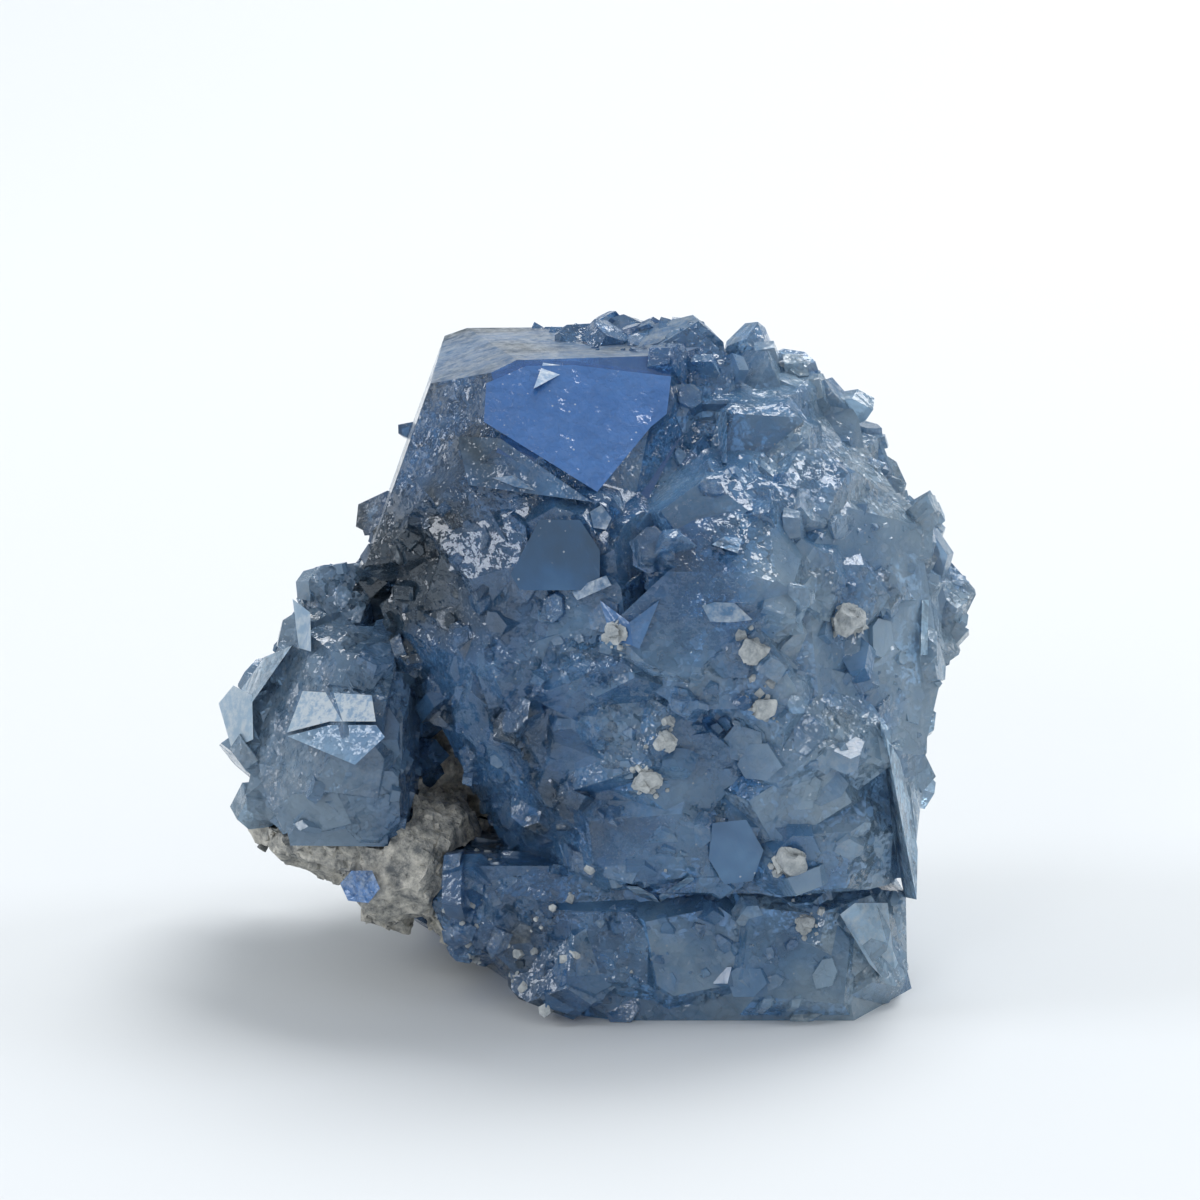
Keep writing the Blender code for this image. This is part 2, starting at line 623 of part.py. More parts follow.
def stand_centred(pieces):
    """Moves every piece so that the whole stands on the origin, the middle of its box above it."""
    low, high = corners_of(v.co for piece in pieces for v in piece.data.vertices)
    shift = Matrix.Translation((-(low[0] + high[0]) / 2, -(low[1] + high[1]) / 2, -low[2]))
    for piece in pieces:
        piece.data.transform(shift)


def plain_material(name, colour, roughness):
    material = bpy.data.materials.new(name)
    material.use_nodes = True
    shader = material.node_tree.nodes["Principled BSDF"]
    shader.inputs["Base Color"].default_value = (*colour, 1.0)
    shader.inputs["Roughness"].default_value = roughness
    shader.inputs["Metallic"].default_value = 0.0
    material.diffuse_color = (*colour, 1.0)
    return material


for old in list(bpy.data.objects):
    bpy.data.objects.remove(old, do_unlink=True)
specimen = bpy.data.collections.new("celestite_specimen")
bpy.context.scene.collection.children.link(specimen)

rock_blocks = [lump_faces(middle, halves, ROCK_SEED + n) for n, (middle, halves) in enumerate(ROCK_LUMPS)]

main_blocks = [heart_faces(SHOULDER_SUNK), crown_faces(), base_faces()]
for tip, heading, rise, roll, width, thickness, length, ridge in MAIN_CRYSTALS:
    main_blocks.append(placed(crystal_faces(width, thickness, length, ridge), tip, heading, rise, roll))
for row in FRONT_FACES:
    around = heart_faces(SHOULDER) if row[0][2] > RIM_LEVEL else base_faces()
    bounds = within(around, EDGE_PROUD, FRONT_PROUD) + rim_side(row[0]) + behind_kite(row[0])
    main_blocks.append(face_block(*row) + bounds)
body = joined("body", main_blocks[:3], specimen)
front_places = [(row[0], 0.3 * max(row[4], row[5])) for row in FRONT_FACES]
main_blocks += druse(body, MAIN_MIDDLE, [*front_places, *CROWN_CLEAR], rock_blocks, **SMALL_DRUSE)
main_blocks += druse(body, MAIN_MIDDLE, [FRONT_CLEAR, *CROWN_CLEAR], rock_blocks, **LARGE_DRUSE)
bpy.data.objects.remove(body)
main = joined("main_crystals", main_blocks, specimen)

side_blocks = [side_heart_faces()]
for tip, heading, rise, roll, width, thickness, length, ridge in SIDE_CRYSTALS:
    side_blocks.append(placed(crystal_faces(width, thickness, length, ridge), tip, heading, rise, roll))
for row in SIDE_FACES:
    side_blocks.append(face_block(*row) + within(side_heart_faces(), SIDE_PROUD, SIDE_PROUD) + below_ledge(row[0]))
body = joined("body", side_blocks[:1], specimen)
side_covers = rock_blocks + main_blocks[:3]
side_blocks += druse(body, SIDE_MIDDLE, [SIDE_CLEAR], side_covers, **SIDE_DRUSE)
bpy.data.objects.remove(body)
side_ends = [tilted_face(0, -90, (0, 0, SIDE_LEVEL)), tilted_face(86, 3, (SIDE_END, 0, SIDE_LEVEL))]
side_blocks = [faces + side_ends for faces in side_blocks]
side = joined("side_crystals", side_blocks, specimen)
cut_clear(side, main_blocks, specimen)

body = joined("body", rock_blocks, specimen)
rock_blocks += knobs(body, ROCK_MIDDLE)
bpy.data.objects.remove(body)
rock = joined("matrix", rock_blocks, specimen)
cut_clear(rock, main_blocks + side_blocks, specimen)

pieces = [main, side, rock]
for number, (across, height, size) in enumerate(CRUMBS, start=1):
    form = crumb_faces(main, across, height, size, number)
    crumb = as_object(f"matrix_crumb_{number}", cut_block(form), specimen)
    cut_clear(crumb, main_blocks, specimen)
    pieces.append(crumb)

stand_centred(pieces)
main.data.materials.append(plain_material("celestite", CRYSTAL_BLUE, 0.2))
side.data.materials.append(plain_material("pale_celestite", CRYSTAL_PALE, 0.2))
rock.data.materials.append(plain_material("limestone", ROCK_GREY, 0.9))
for crumb in pieces[3:]:
    crumb.data.materials.append(plain_material("limestone_crumb", CRUMB_CREAM, 0.95))
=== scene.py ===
"""A chunk of blue celestite on its rough rock, as it stands on a white cloth in soft daylight."""
import math

import bmesh
import bpy
import numpy as np
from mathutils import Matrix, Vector
from mathutils.bvhtree import BVHTree


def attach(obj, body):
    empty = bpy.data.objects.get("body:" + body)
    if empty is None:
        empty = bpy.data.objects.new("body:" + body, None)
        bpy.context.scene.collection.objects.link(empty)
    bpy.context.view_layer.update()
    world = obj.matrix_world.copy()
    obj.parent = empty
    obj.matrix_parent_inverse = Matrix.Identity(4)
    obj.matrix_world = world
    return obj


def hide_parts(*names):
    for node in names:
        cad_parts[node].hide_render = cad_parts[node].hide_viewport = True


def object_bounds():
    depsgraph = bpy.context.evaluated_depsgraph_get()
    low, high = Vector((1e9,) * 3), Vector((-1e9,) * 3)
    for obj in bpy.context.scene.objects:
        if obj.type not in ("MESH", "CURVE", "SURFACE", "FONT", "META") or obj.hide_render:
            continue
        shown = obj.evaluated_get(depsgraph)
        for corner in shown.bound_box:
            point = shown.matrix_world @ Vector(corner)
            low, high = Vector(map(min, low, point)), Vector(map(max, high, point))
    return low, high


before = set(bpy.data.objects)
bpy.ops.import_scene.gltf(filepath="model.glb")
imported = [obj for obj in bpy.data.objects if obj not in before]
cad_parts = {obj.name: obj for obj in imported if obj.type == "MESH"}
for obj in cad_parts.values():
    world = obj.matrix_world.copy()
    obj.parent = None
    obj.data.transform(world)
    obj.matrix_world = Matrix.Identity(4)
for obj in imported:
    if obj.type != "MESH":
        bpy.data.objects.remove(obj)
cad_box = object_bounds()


# Viewpoint. The specimen is seen from the front, a little from above, from about arm's length
# with a lens long enough to keep its shape true.
MM = 0.001
VIEW_RISE = math.radians(12.0)
VIEW_DISTANCE = 0.36
VIEW_POINT = Vector((0.32, -0.07, 44.3)) * MM
LENS = 90.0                # focal length, and width of the frame behind the lens, in mm
FRAME_WIDTH = 36.0

camera_data = bpy.data.cameras.new("viewpoint")
camera_data.lens = LENS
camera_data.sensor_width = FRAME_WIDTH
camera_data.clip_start = 0.01
camera_data.clip_end = 50.0
camera = bpy.data.objects.new("viewpoint", camera_data)
toward_camera = Vector((0.0, -math.cos(VIEW_RISE), math.sin(VIEW_RISE)))
camera.location = VIEW_POINT + toward_camera * VIEW_DISTANCE
camera.rotation_euler = (math.pi / 2 - VIEW_RISE, 0.0, 0.0)
bpy.context.scene.collection.objects.link(camera)
bpy.context.scene.camera = camera
bpy.context.scene.view_settings.view_transform = "Standard"


# The table: matt white cotton cloth, laid flat. It runs on far behind the specimen and rises there
# in one soft sweep, so the floor has no visible far edge.
TABLE_WIDTH = 10.0         # sizes of the cloth in metres
TABLE_FRONT = 4.0          # how far it reaches in front of the specimen
TABLE_BACK = 1.0           # how far back it is flat
TABLE_BEND = 2.6           # radius of its bend
TABLE_HEIGHT = 6.0


def linear(code, alpha=1.0):
    """An sRGB hex colour as linear red, green, blue and alpha."""
    parts = [int(code[i:i + 2], 16) / 255 for i in (1, 3, 5)]
    return (*(p / 12.92 if p <= 0.04045 else ((p + 0.055) / 1.055) ** 2.4 for p in parts), alpha)


def add_node(material, kind, links=(), inputs=(), **settings):
    """Adds a node with its settings, its plain input values and its links from other nodes."""
    tree = material.node_tree
    node = tree.nodes.new(kind)
    for key, value in settings.items():
        setattr(node, key, value)
    for socket, value in inputs:
        node.inputs[socket].default_value = value
    for socket, source in links:
        tree.links.new(source, node.inputs[socket])
    return node


def new_material(name):
    """An empty node material with its output node."""
    material = bpy.data.materials.new(name)
    material.use_nodes = True
    material.node_tree.nodes.clear()
    output = material.node_tree.nodes.new("ShaderNodeOutputMaterial")
    return material, output


def sweep(width, front, back, bend, height):
    """A floor that turns up: flat from front to back, a quarter circle of the bend, then a wall."""
    turn = np.linspace(0, math.pi / 2, 24)
    far = np.concatenate([[-front], back + bend * np.sin(turn), [back + bend]])
    up = np.concatenate([[0.0], bend * (1 - np.cos(turn)), [height]])
    across = np.array([-width / 2, width / 2])
    return np.stack(np.broadcast_arrays(across[None, :], far[:, None], up[:, None]), -1)


def grid_mesh(name, points):
    """A mesh from a grid of points: neighbours along both ways of the grid make its quads."""
    rows, columns = points.shape[:2]
    index = np.arange(rows * columns).reshape(rows, columns)
    quads = np.stack([index[:-1, :-1], index[:-1, 1:], index[1:, 1:], index[1:, :-1]], -1)
    mesh = bpy.data.meshes.new(name)
    mesh.from_pydata(points.reshape(-1, 3).tolist(), [], quads.reshape(-1, 4).tolist())
    return mesh


def placed(name, mesh):
    """An object at the origin with the mesh."""
    thing = bpy.data.objects.new(name, mesh)
    bpy.context.scene.collection.objects.link(thing)
    return thing


floor_mesh = grid_mesh(
    "table_cloth", sweep(TABLE_WIDTH, TABLE_FRONT, TABLE_BACK, TABLE_BEND, TABLE_HEIGHT))
floor_mesh.shade_smooth()
table_cloth = placed("table_cloth", floor_mesh)
cloth, cloth_output = new_material("white_cloth")
cloth_shader = add_node(
    cloth, "ShaderNodeBsdfPrincipled", inputs=[("Base Color", linear("#dadddf")), ("Roughness", 0.9)])
cloth.node_tree.links.new(cloth_shader.outputs["BSDF"], cloth_output.inputs["Surface"])
floor_mesh.materials.append(cloth)


# Daylight: a pale sky all round, and windows as large soft panels above, on both sides and in
# front. The flat faces of the crystals show them as they turn.
SKY_STRENGTH = 0.6
SPECIMEN_MIDDLE = (0, 0, 0.04)     # the place that the windows face, in metres

world = bpy.data.worlds.new("daylight")
world.use_nodes = True
world.node_tree.nodes["Background"].inputs["Color"].default_value = linear("#eff3f6")
world.node_tree.nodes["Background"].inputs["Strength"].default_value = SKY_STRENGTH
bpy.context.scene.world = world


def window(name, place, width, height, power, colour):
    """A soft panel of light at the place, in metres and watts, that faces the specimen."""
    light = bpy.data.lights.new(name, "AREA")
    light.shape = "RECTANGLE"
    light.size = width
    light.size_y = height
    light.energy = power
    light.color = linear(colour)[:3]
    thing = bpy.data.objects.new(name, light)
    thing.location = place
    thing.rotation_euler = (Vector(SPECIMEN_MIDDLE) - Vector(place)).to_track_quat("-Z", "Y").to_euler()
    bpy.context.scene.collection.objects.link(thing)


window("window_above", (0.9, 1.4, 3.0), 2.2, 1.8, 82.0, "#ffffff")
window("window_left", (-3.0, -0.5, 2.0), 1.2, 1.5, 32.0, "#f4f8ff")
window("window_front", (-1.4, -2.6, 1.3), 0.6, 0.8, 9.0, "#f8fbff")
window("window_right", (2.6, 0.3, 2.2), 0.8, 1.3, 20.0, "#f4f8ff")


# The large block of crystals: the body of the block, with the large faces of its crown. Celestite
# grows as see-through blocks with flat faces, here grown fast together and broken along the front.
KITE_WAY = (9, 45)         # heading and rise of the kite-shaped face, in degrees


def facing(heading, rise):
    """The way that a face looks: heading 0 is to the front and 90 to the right, rise 90 is up."""
    turn, lift = math.radians(heading), math.radians(rise)
    return Vector((math.sin(turn) * math.cos(lift), -math.cos(turn) * math.cos(lift), math.sin(lift)))


def rows_of(items, key, width):
    """A value of a mesh's points or faces as rows of the width."""
    values = np.empty(len(items) * width)
    items.foreach_get(key, values)
    return values.reshape(-1, width)


def write_attribute(mesh, key, domain, values):
    mesh.attributes.new(key, "FLOAT", domain).data.foreach_set("value", values)


def facet_copy(node, name, seed):
    """The node's solid with its corners merged. Triangles in one plane are one facet, and each
    facet has a tone and a share of breaks by chance, and frost as the tone to the fourth power."""
    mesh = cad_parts[node].data.copy()
    mesh.name = name
    work = bmesh.new()
    work.from_mesh(mesh)
    bmesh.ops.remove_doubles(work, verts=work.verts, dist=1e-6)
    bmesh.ops.dissolve_degenerate(work, edges=work.edges, dist=1e-6)
    bmesh.ops.triangulate(work, faces=work.faces)
    work.to_mesh(mesh)
    work.free()
    count = len(mesh.polygons)
    normals = rows_of(mesh.polygons, "normal", 3)
    middles = rows_of(mesh.polygons, "center", 3) / MM
    planes = np.round(np.column_stack([normals * 40, (normals * middles).sum(1) / 2])).astype(int)
    _, facet = np.unique(planes, axis=0, return_inverse=True)
    tone, breaks = np.random.default_rng(seed).random((2, facet.max() + 1))[:, facet.ravel()]
    write_attribute(mesh, "tone", "FACE", tone)
    write_attribute(mesh, "frost_and_highlight", "FACE", tone ** 4 * 0.5)
    write_attribute(mesh, "blue", "FACE", np.zeros(count))
    write_attribute(mesh, "broken", "FACE", 0.1 + 0.8 * breaks)
    write_attribute(mesh, "across", "POINT", np.zeros(len(mesh.vertices)))
    return placed(name, mesh)


# Celestite, as grown and as broken: see-through, blue-grey from its own absorption, milky with
# fine cracks. Grown faces are glossy, breaks are hazy, and growth lines run along the crystals.
CELESTITE_IOR = 1.62
GROWTH_LINES = 0.45        # spacing of the growth lines in mm, as coarse as shows
FINE_PITS = 0.25           # spacing of the pits on hazy faces in mm, as coarse as shows
SPECKS = 1.7               # spacing of the white specks in mm
WAVES = 1.8                # size of the soft waves on the faces in mm
SHARDS = (2.4, 0.8)        # sizes of the breaks that show inside, coarse and fine, in mm
# The breaks' tone is partly their own and partly a painted reflection off their inner faces.
SHARD_TONE_AND_SHINE = 0.42          # how much darker or lighter the breaks are
BEND_SIZE = 1.5            # size of the bends that make the breaks' edges uneven, in mm
BEND_REACH = 2.0           # and how far they move them
CLOUD_SIZE = 11.0          # size of the clouds of paler and darker blue in mm
CLOUD_SHIFT = (-0.3, 0.15)
TONE_SHIFT = 0.3           # how much further along its colours a facet of tone 1 is than one of tone 0
VEIL_SIZE = 1.3            # size of the white veils in mm
GLOSS = (0.05, 0.4)        # roughness of a clear face and of a hazy one


def celestite(name, colours, absorb, density, span, clear):
    """The colours follow each other over the span across, in mm, shifted by clouds and by facet.
    The breaks inside are cells, each a tone and a slant by chance, as strong as the face's share of
    breaks; their tone is partly their own and partly a painted reflection off their inner faces.
    White veils are soft noise times the frost; on some of the listed faces a high frost is a painted
    highlight. In its depth the crystal takes up light of each colour by the density times what the
    absorb colour lacks of white, a metre, and clear is the share of light that its surface lets in."""
    material, output = new_material(name)
    place = add_node(material, "ShaderNodeTexCoord").outputs["Object"]
    frost_and_highlight = add_node(material, "ShaderNodeAttribute", attribute_name="frost_and_highlight").outputs["Fac"]
    tone = add_node(material, "ShaderNodeAttribute", attribute_name="tone").outputs["Fac"]
    blue = add_node(material, "ShaderNodeAttribute", attribute_name="blue").outputs["Fac"]
    broken = add_node(material, "ShaderNodeAttribute", attribute_name="broken").outputs["Fac"]
    across = add_node(material, "ShaderNodeAttribute", attribute_name="across").outputs["Fac"]
    clouds = add_node(
        material, "ShaderNodeTexNoise", [("Vector", place)],
        [("Scale", 1 / (CLOUD_SIZE * MM)), ("Detail", 3.0)])
    split = add_node(material, "ShaderNodeSeparateXYZ", [("Vector", place)])
    side = add_node(
        material, "ShaderNodeMapRange", [("Value", split.outputs["X"])],
        [("From Min", span[0] * MM), ("From Max", span[1] * MM)])
    cloudy = add_node(
        material, "ShaderNodeMapRange", [("Value", clouds.outputs["Fac"])],
        [("From Min", 0.35), ("From Max", 0.65),
         ("To Min", CLOUD_SHIFT[0]), ("To Max", CLOUD_SHIFT[1])])
    toned = add_node(
        material, "ShaderNodeMath", [(0, tone), (2, cloudy.outputs[0])], [(1, TONE_SHIFT)],
        operation="MULTIPLY_ADD")
    blend = add_node(
        material, "ShaderNodeMath", [(0, side.outputs[0]), (1, toned.outputs[0])],
        operation="ADD", use_clamp=True)
    base = add_node(material, "ShaderNodeValToRGB", [("Fac", blend.outputs[0])])
    ramp = base.color_ramp.elements
    ramp[0].color, ramp[1].color = linear(colours[0]), linear(colours[-1])
    for number, colour in enumerate(colours[1:-1], start=1):
        ramp.new(number / (len(colours) - 1)).color = linear(colour)
    # Faces marked blue are mixed toward a vivid blue; on the kite-shaped face this is a painted glow of
    # the light through the block.
    vivid = add_node(
        material, "ShaderNodeMix", [("Factor", blue), (6, base.outputs["Color"])],
        [(7, linear("#4c82cc"))], data_type="RGBA")
    warp = add_node(
        material, "ShaderNodeTexNoise", [("Vector", place)], [("Scale", 1 / (BEND_SIZE * MM))])
    bent = add_node(
        material, "ShaderNodeVectorMath", [(0, warp.outputs["Color"]), (2, place)],
        [(1, (BEND_REACH * MM,) * 3)], operation="MULTIPLY_ADD")
    coarse = add_node(
        material, "ShaderNodeTexVoronoi", [("Vector", bent.outputs[0])],
        [("Scale", 1 / (SHARDS[0] * MM))])
    fine = add_node(
        material, "ShaderNodeTexVoronoi", [("Vector", bent.outputs[0])],
        [("Scale", 1 / (SHARDS[1] * MM))])
    coarse_tone = add_node(material, "ShaderNodeSeparateColor", [("Color", coarse.outputs["Color"])])
    fine_tone = add_node(material, "ShaderNodeSeparateColor", [("Color", fine.outputs["Color"])])
    both = add_node(
        material, "ShaderNodeMath", [(0, coarse_tone.outputs["Red"]), (1, fine_tone.outputs["Red"])],
        operation="ADD")
    # Painted reflection: the break cells are made darker or lighter, partly as their own tone and
    # partly as light reflected off their inner faces.
    shard_tone_and_shine = add_node(
        material, "ShaderNodeMapRange", [("Value", both.outputs[0])],
        [("From Max", 2.0), ("To Min", -SHARD_TONE_AND_SHINE), ("To Max", SHARD_TONE_AND_SHINE)])
    bright = add_node(
        material, "ShaderNodeMath", [(0, shard_tone_and_shine.outputs[0]), (1, broken)], [(2, 1.0)],
        operation="MULTIPLY_ADD")
    inner = add_node(
        material, "ShaderNodeHueSaturation",
        [("Value", bright.outputs[0]), ("Color", vivid.outputs[2])])
    milk = add_node(
        material, "ShaderNodeTexNoise", [("Vector", place)],
        [("Scale", 1 / (VEIL_SIZE * MM)), ("Detail", 5.0), ("Roughness", 0.7)])
    white = add_node(
        material, "ShaderNodeMapRange", [("Value", milk.outputs["Fac"])],
        [("From Min", 0.42), ("From Max", 0.7)])
    veil_and_highlight = add_node(
        material, "ShaderNodeMath", [(0, white.outputs[0]), (1, frost_and_highlight)],
        operation="MULTIPLY", use_clamp=True)
    spots = add_node(
        material, "ShaderNodeTexVoronoi", [("Vector", place)], [("Scale", 1 / (SPECKS * MM))])
    speck = add_node(
        material, "ShaderNodeMapRange", [("Value", spots.outputs["Distance"])],
        [("From Min", 0.05), ("From Max", 0.09), ("To Min", 0.7), ("To Max", 0.0)])
    whole = add_node(
        material, "ShaderNodeMath", [(0, veil_and_highlight.outputs[0]), (1, speck.outputs[0])], operation="MAXIMUM")
    # Veils and specks whiten the colour; on the listed faces given a high frost the whitening is a
    # painted highlight.
    whitened = add_node(
        material, "ShaderNodeMix", [("Factor", whole.outputs[0]), (6, inner.outputs["Color"])],
        [(7, linear("#d3e0ea"))], data_type="RGBA")
    gloss = add_node(
        material, "ShaderNodeMapRange", [("Value", frost_and_highlight)],
        [("To Min", GLOSS[0]), ("To Max", GLOSS[1])])
    lines = add_node(
        material, "ShaderNodeTexNoise", [("W", across)],
        [("Scale", 1 / GROWTH_LINES), ("Detail", 3.0)], noise_dimensions="1D")
    pits = add_node(
        material, "ShaderNodeTexNoise", [("Vector", place)],
        [("Scale", 1 / (FINE_PITS * MM)), ("Detail", 2.0)])
    relief = add_node(
        material, "ShaderNodeMath", [(0, pits.outputs["Fac"]), (1, frost_and_highlight), (2, lines.outputs["Fac"])],
        operation="MULTIPLY_ADD")
    bump = add_node(
        material, "ShaderNodeBump", [("Height", relief.outputs[0])],
        [("Strength", 0.25), ("Distance", 0.1 * MM)])
    slants = []
    for cells in (coarse, fine):
        from_middle = add_node(
            material, "ShaderNodeVectorMath", [(0, bent.outputs[0]), (1, cells.outputs["Position"])],
            operation="SUBTRACT")
        slope = add_node(
            material, "ShaderNodeVectorMath", [(0, cells.outputs["Color"])], [(1, (0.5, 0.5, 0.5))],
            operation="SUBTRACT")
        slants.append(add_node(
            material, "ShaderNodeVectorMath", [(0, from_middle.outputs[0]), (1, slope.outputs[0])],
            operation="DOT_PRODUCT"))
    slanted = add_node(
        material, "ShaderNodeMath", [(0, slants[0].outputs["Value"]), (1, slants[1].outputs["Value"])],
        operation="ADD")
    cleaved = add_node(
        material, "ShaderNodeMath", [(0, slanted.outputs[0]), (1, broken)], operation="MULTIPLY")
    cleavage = add_node(
        material, "ShaderNodeBump", [("Height", cleaved.outputs[0]), ("Normal", bump.outputs[0])],
        [("Strength", 0.8), ("Distance", 1.0)])
    swell = add_node(
        material, "ShaderNodeTexNoise", [("Vector", place)],
        [("Scale", 1 / (WAVES * MM)), ("Detail", 3.0)])
    waves = add_node(
        material, "ShaderNodeBump", [("Height", swell.outputs["Fac"]), ("Normal", cleavage.outputs[0])],
        [("Strength", 0.5), ("Distance", 0.25 * MM)])
    shader = add_node(
        material, "ShaderNodeBsdfPrincipled",
        [("Base Color", whitened.outputs[2]), ("Roughness", gloss.outputs[0]),
         ("Normal", waves.outputs[0])],
        [("IOR", CELESTITE_IOR), ("Transmission Weight", clear)])
    depth = add_node(
        material, "ShaderNodeVolumeAbsorption",
        inputs=[("Color", linear(absorb)), ("Density", density)])
    material.node_tree.links.new(shader.outputs["BSDF"], output.inputs["Surface"])
    material.node_tree.links.new(depth.outputs["Volume"], output.inputs["Volume"])
    return material


# On the block the colours run from dark grey-blue on the left to pale blue on the right: partly its own
# zoning, partly painted shade on the left and painted light on the right, where it is thinner and lit
# from the right and behind.
BLOCK_SPAN = (-26.0, 46.0)  # from where to where, across, its colours run, in mm

deep_celestite = celestite(
    "celestite_deep", ("#40576b", "#5488bd", "#7aabd8", "#b4d4ec"), "#98c0e0", 21.0, BLOCK_SPAN, 0.62)
main_crystals = facet_copy("main_crystals", "celestite_block", 3)
main_crystals.data.materials.clear()


KITE_PLACE = ((-1.0, -15.0, 69.5), 11.0)   # middle and reach of the kite-shaped face, in mm
TOP_PLACE = ((-9.0, 2.0, 74.0), 24.0)      # and of the crown's top
TOP_WAYS = ((-74, 69), (-25, 89))
SAME_WAY = 0.97            # cosine of the angle within which a face looks the same way


def mark_facet(thing, key, middle, reach, way, value):
    """Gives the attribute the value on faces near the middle, in mm, that face the way."""
    mesh = thing.data
    away = rows_of(mesh.polygons, "center", 3) / MM - np.array(middle)
    near = np.linalg.norm(away, axis=1) < reach
    near &= rows_of(mesh.polygons, "normal", 3) @ np.array(facing(*way)) > SAME_WAY
    values = np.empty(len(mesh.polygons))
    mesh.attributes[key].data.foreach_get("value", values)
    mesh.attributes[key].data.foreach_set("value", np.where(near, value, values))


# The kite-shaped face of the crown is painted bluer: a painted glow that stands in for the light that
# comes to it through the whole block.
# The crown's top faces are hazy.
mark_facet(main_crystals, "blue", *KITE_PLACE, KITE_WAY, 0.85)
mark_facet(main_crystals, "frost_and_highlight", *KITE_PLACE, KITE_WAY, 0.1)
mark_facet(main_crystals, "broken", *KITE_PLACE, KITE_WAY, 0.0)
for top_way in TOP_WAYS:
    mark_facet(main_crystals, "frost_and_highlight", *TOP_PLACE, top_way, 0.9)
    mark_facet(main_crystals, "broken", *TOP_PLACE, top_way, 0.3)
main_crystals.data.materials.append(deep_celestite)
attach(main_crystals, "root")
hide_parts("main_crystals")


# Single faces in the front of the block that stand out from the others: ends of crystals and fresh
# breaks, of the same celestite, each a low block grown into what it lies on.
FROM_ABOVE = (25, 60)      # the heading and rise of a face that shows the light from above
FROM_LEFT = (-37, 28)
FROM_RIGHT = (41, 36)

# A row has the depth of the plane that its corners are given in, which way the face leans, its
# tone, lowest on the darkest faces, partly as painted shade, its frost, set high on the whitest
# faces as a painted highlight, how blue it is, on the kite-shaped face a painted glow, and its
# corners, across and up in mm.
BLOCK_FACES = (
    # The first row is the kite-shaped face; its blue is a painted glow of the light through the block.
    (-14.0, KITE_WAY, 0.3, 0.05, 0.8, (
        (-12.6, 72.4), (-8.0, 74.4), (-2.7, 74.5), (2.4, 73.9), (8.4, 73.2), (7.9, 68.9), (6.1, 67.4),
        (0.0, 59.9), (-4.6, 62.8), (-12.9, 68.0))),
    (-10.5, FROM_ABOVE, 0.9, 1.2, 0.0, ((-6.2, 74.3), (-2.7, 73.8), (-7.3, 71.3))),
    (-22.0, FROM_ABOVE, 0.8, 0.8, 0.0, (
        (-11.7, 62.9), (-9.2, 63.2), (-5.8, 62.7), (-3.0, 61.9), (-2.2, 59.8), (-4.7, 61.0),
        (-9.2, 61.9))),
    (-13.0, FROM_RIGHT, 0.9, 0.3, 0.0, ((13.4, 69.0), (14.8, 69.0), (14.8, 63.1), (14.3, 63.1))),
    (-28.0, FROM_ABOVE, 0.9, 0.9, 0.0, (
        (11.6, 49.6), (13.0, 50.0), (15.2, 49.9), (17.2, 48.0), (14.7, 47.7), (12.5, 47.8))),
    (-26.0, FROM_ABOVE, 0.9, 0.6, 0.0, ((12.7, 56.1), (14.1, 57.0), (16.1, 56.8), (15.6, 55.1))),
    (-27.0, FROM_LEFT, 0.7, 0.9, 0.0, ((-3.0, 51.2), (1.0, 52.8), (1.6, 51.7), (-2.2, 50.0))),
    (-24.0, FROM_LEFT, 0.7, 0.9, 0.0, (
        (-0.8, 59.4), (0.5, 60.2), (1.6, 58.7), (1.0, 57.4), (-0.4, 57.6))),
    (-27.0, (-30, 10), 0.3, 0.0, 0.4, ((0.3, 50.0), (3.6, 47.5), (4.0, 44.7), (1.6, 45.5))),
    (-27.0, FROM_RIGHT, 0.6, 0.1, 0.3, ((3.6, 47.5), (6.9, 50.0), (4.7, 44.4), (4.0, 44.7))),
    (-24.0, (-8, 6), 0.2, 0.0, 0.0, (
        (-6.4, 58.5), (-1.9, 58.5), (0.3, 55.1), (0.3, 50.5), (-8.6, 50.5), (-9.7, 52.3))),
    (-21.0, (-26, 2), 0.0, 0.1, 0.0, (
        (-15.6, 67.4), (-10.8, 67.2), (-0.6, 60.0), (-3.6, 60.4), (-14.4, 61.9))),
    (-14.0, FROM_RIGHT, 0.9, 0.5, 0.0, (
        (32.8, 33.0), (33.5, 31.2), (35.3, 28.2), (36.5, 23.4), (37.6, 17.3), (37.6, 11.2),
        (36.2, 11.5), (34.9, 17.3))),
    (-6.0, FROM_RIGHT, 1.0, 0.3, 0.0, ((38.3, 45.6), (39.1, 45.6), (39.1, 38.9), (38.3, 38.9))),
    (-26.5, (-30, -24), 0.0, 0.0, 0.0, (
        (13.0, 24.2), (16.8, 24.6), (18.8, 21.0), (17.6, 17.4), (14.4, 17.0), (12.6, 20.0))),
    (-20.0, (46, 20), 0.9, 0.9, 0.0, (
        (28.1, 11.3), (29.8, 12.7), (33.6, 12.7), (34.3, 7.0), (35.8, 3.4), (34.9, 1.8), (31.7, 5.2))),
    (-27.0, FROM_ABOVE, 0.8, 0.7, 0.0, (
        (3.1, 17.0), (4.8, 15.7), (7.1, 15.0), (6.4, 15.9), (4.6, 16.9))),
    (-27.0, FROM_ABOVE, 0.8, 0.6, 0.0, ((7.1, 15.0), (11.0, 17.7), (10.6, 18.3), (7.0, 15.8))),
)
LEAST_PROUD = 0.2          # how far the lowest point of a standing face is out of its host, in mm
ROOT_DEPTH = 1.2           # how deep its block is rooted behind the host's deepest point under it
LEAN_STEPS = 9             # steps from the lean of its row to that of the host under it
PROBED = (0.0, 0.5, 0.9)   # shares of the way from its middle to its corners where the host is felt


def unit(vectors):
    return vectors / np.linalg.norm(vectors, axis=-1, keepdims=True)


def seen_at(across, depth, up):
    """The way from the camera to a place in mm, as a unit vector."""
    return np.array((Vector((across, depth, up)) * MM - camera.location).normalized())


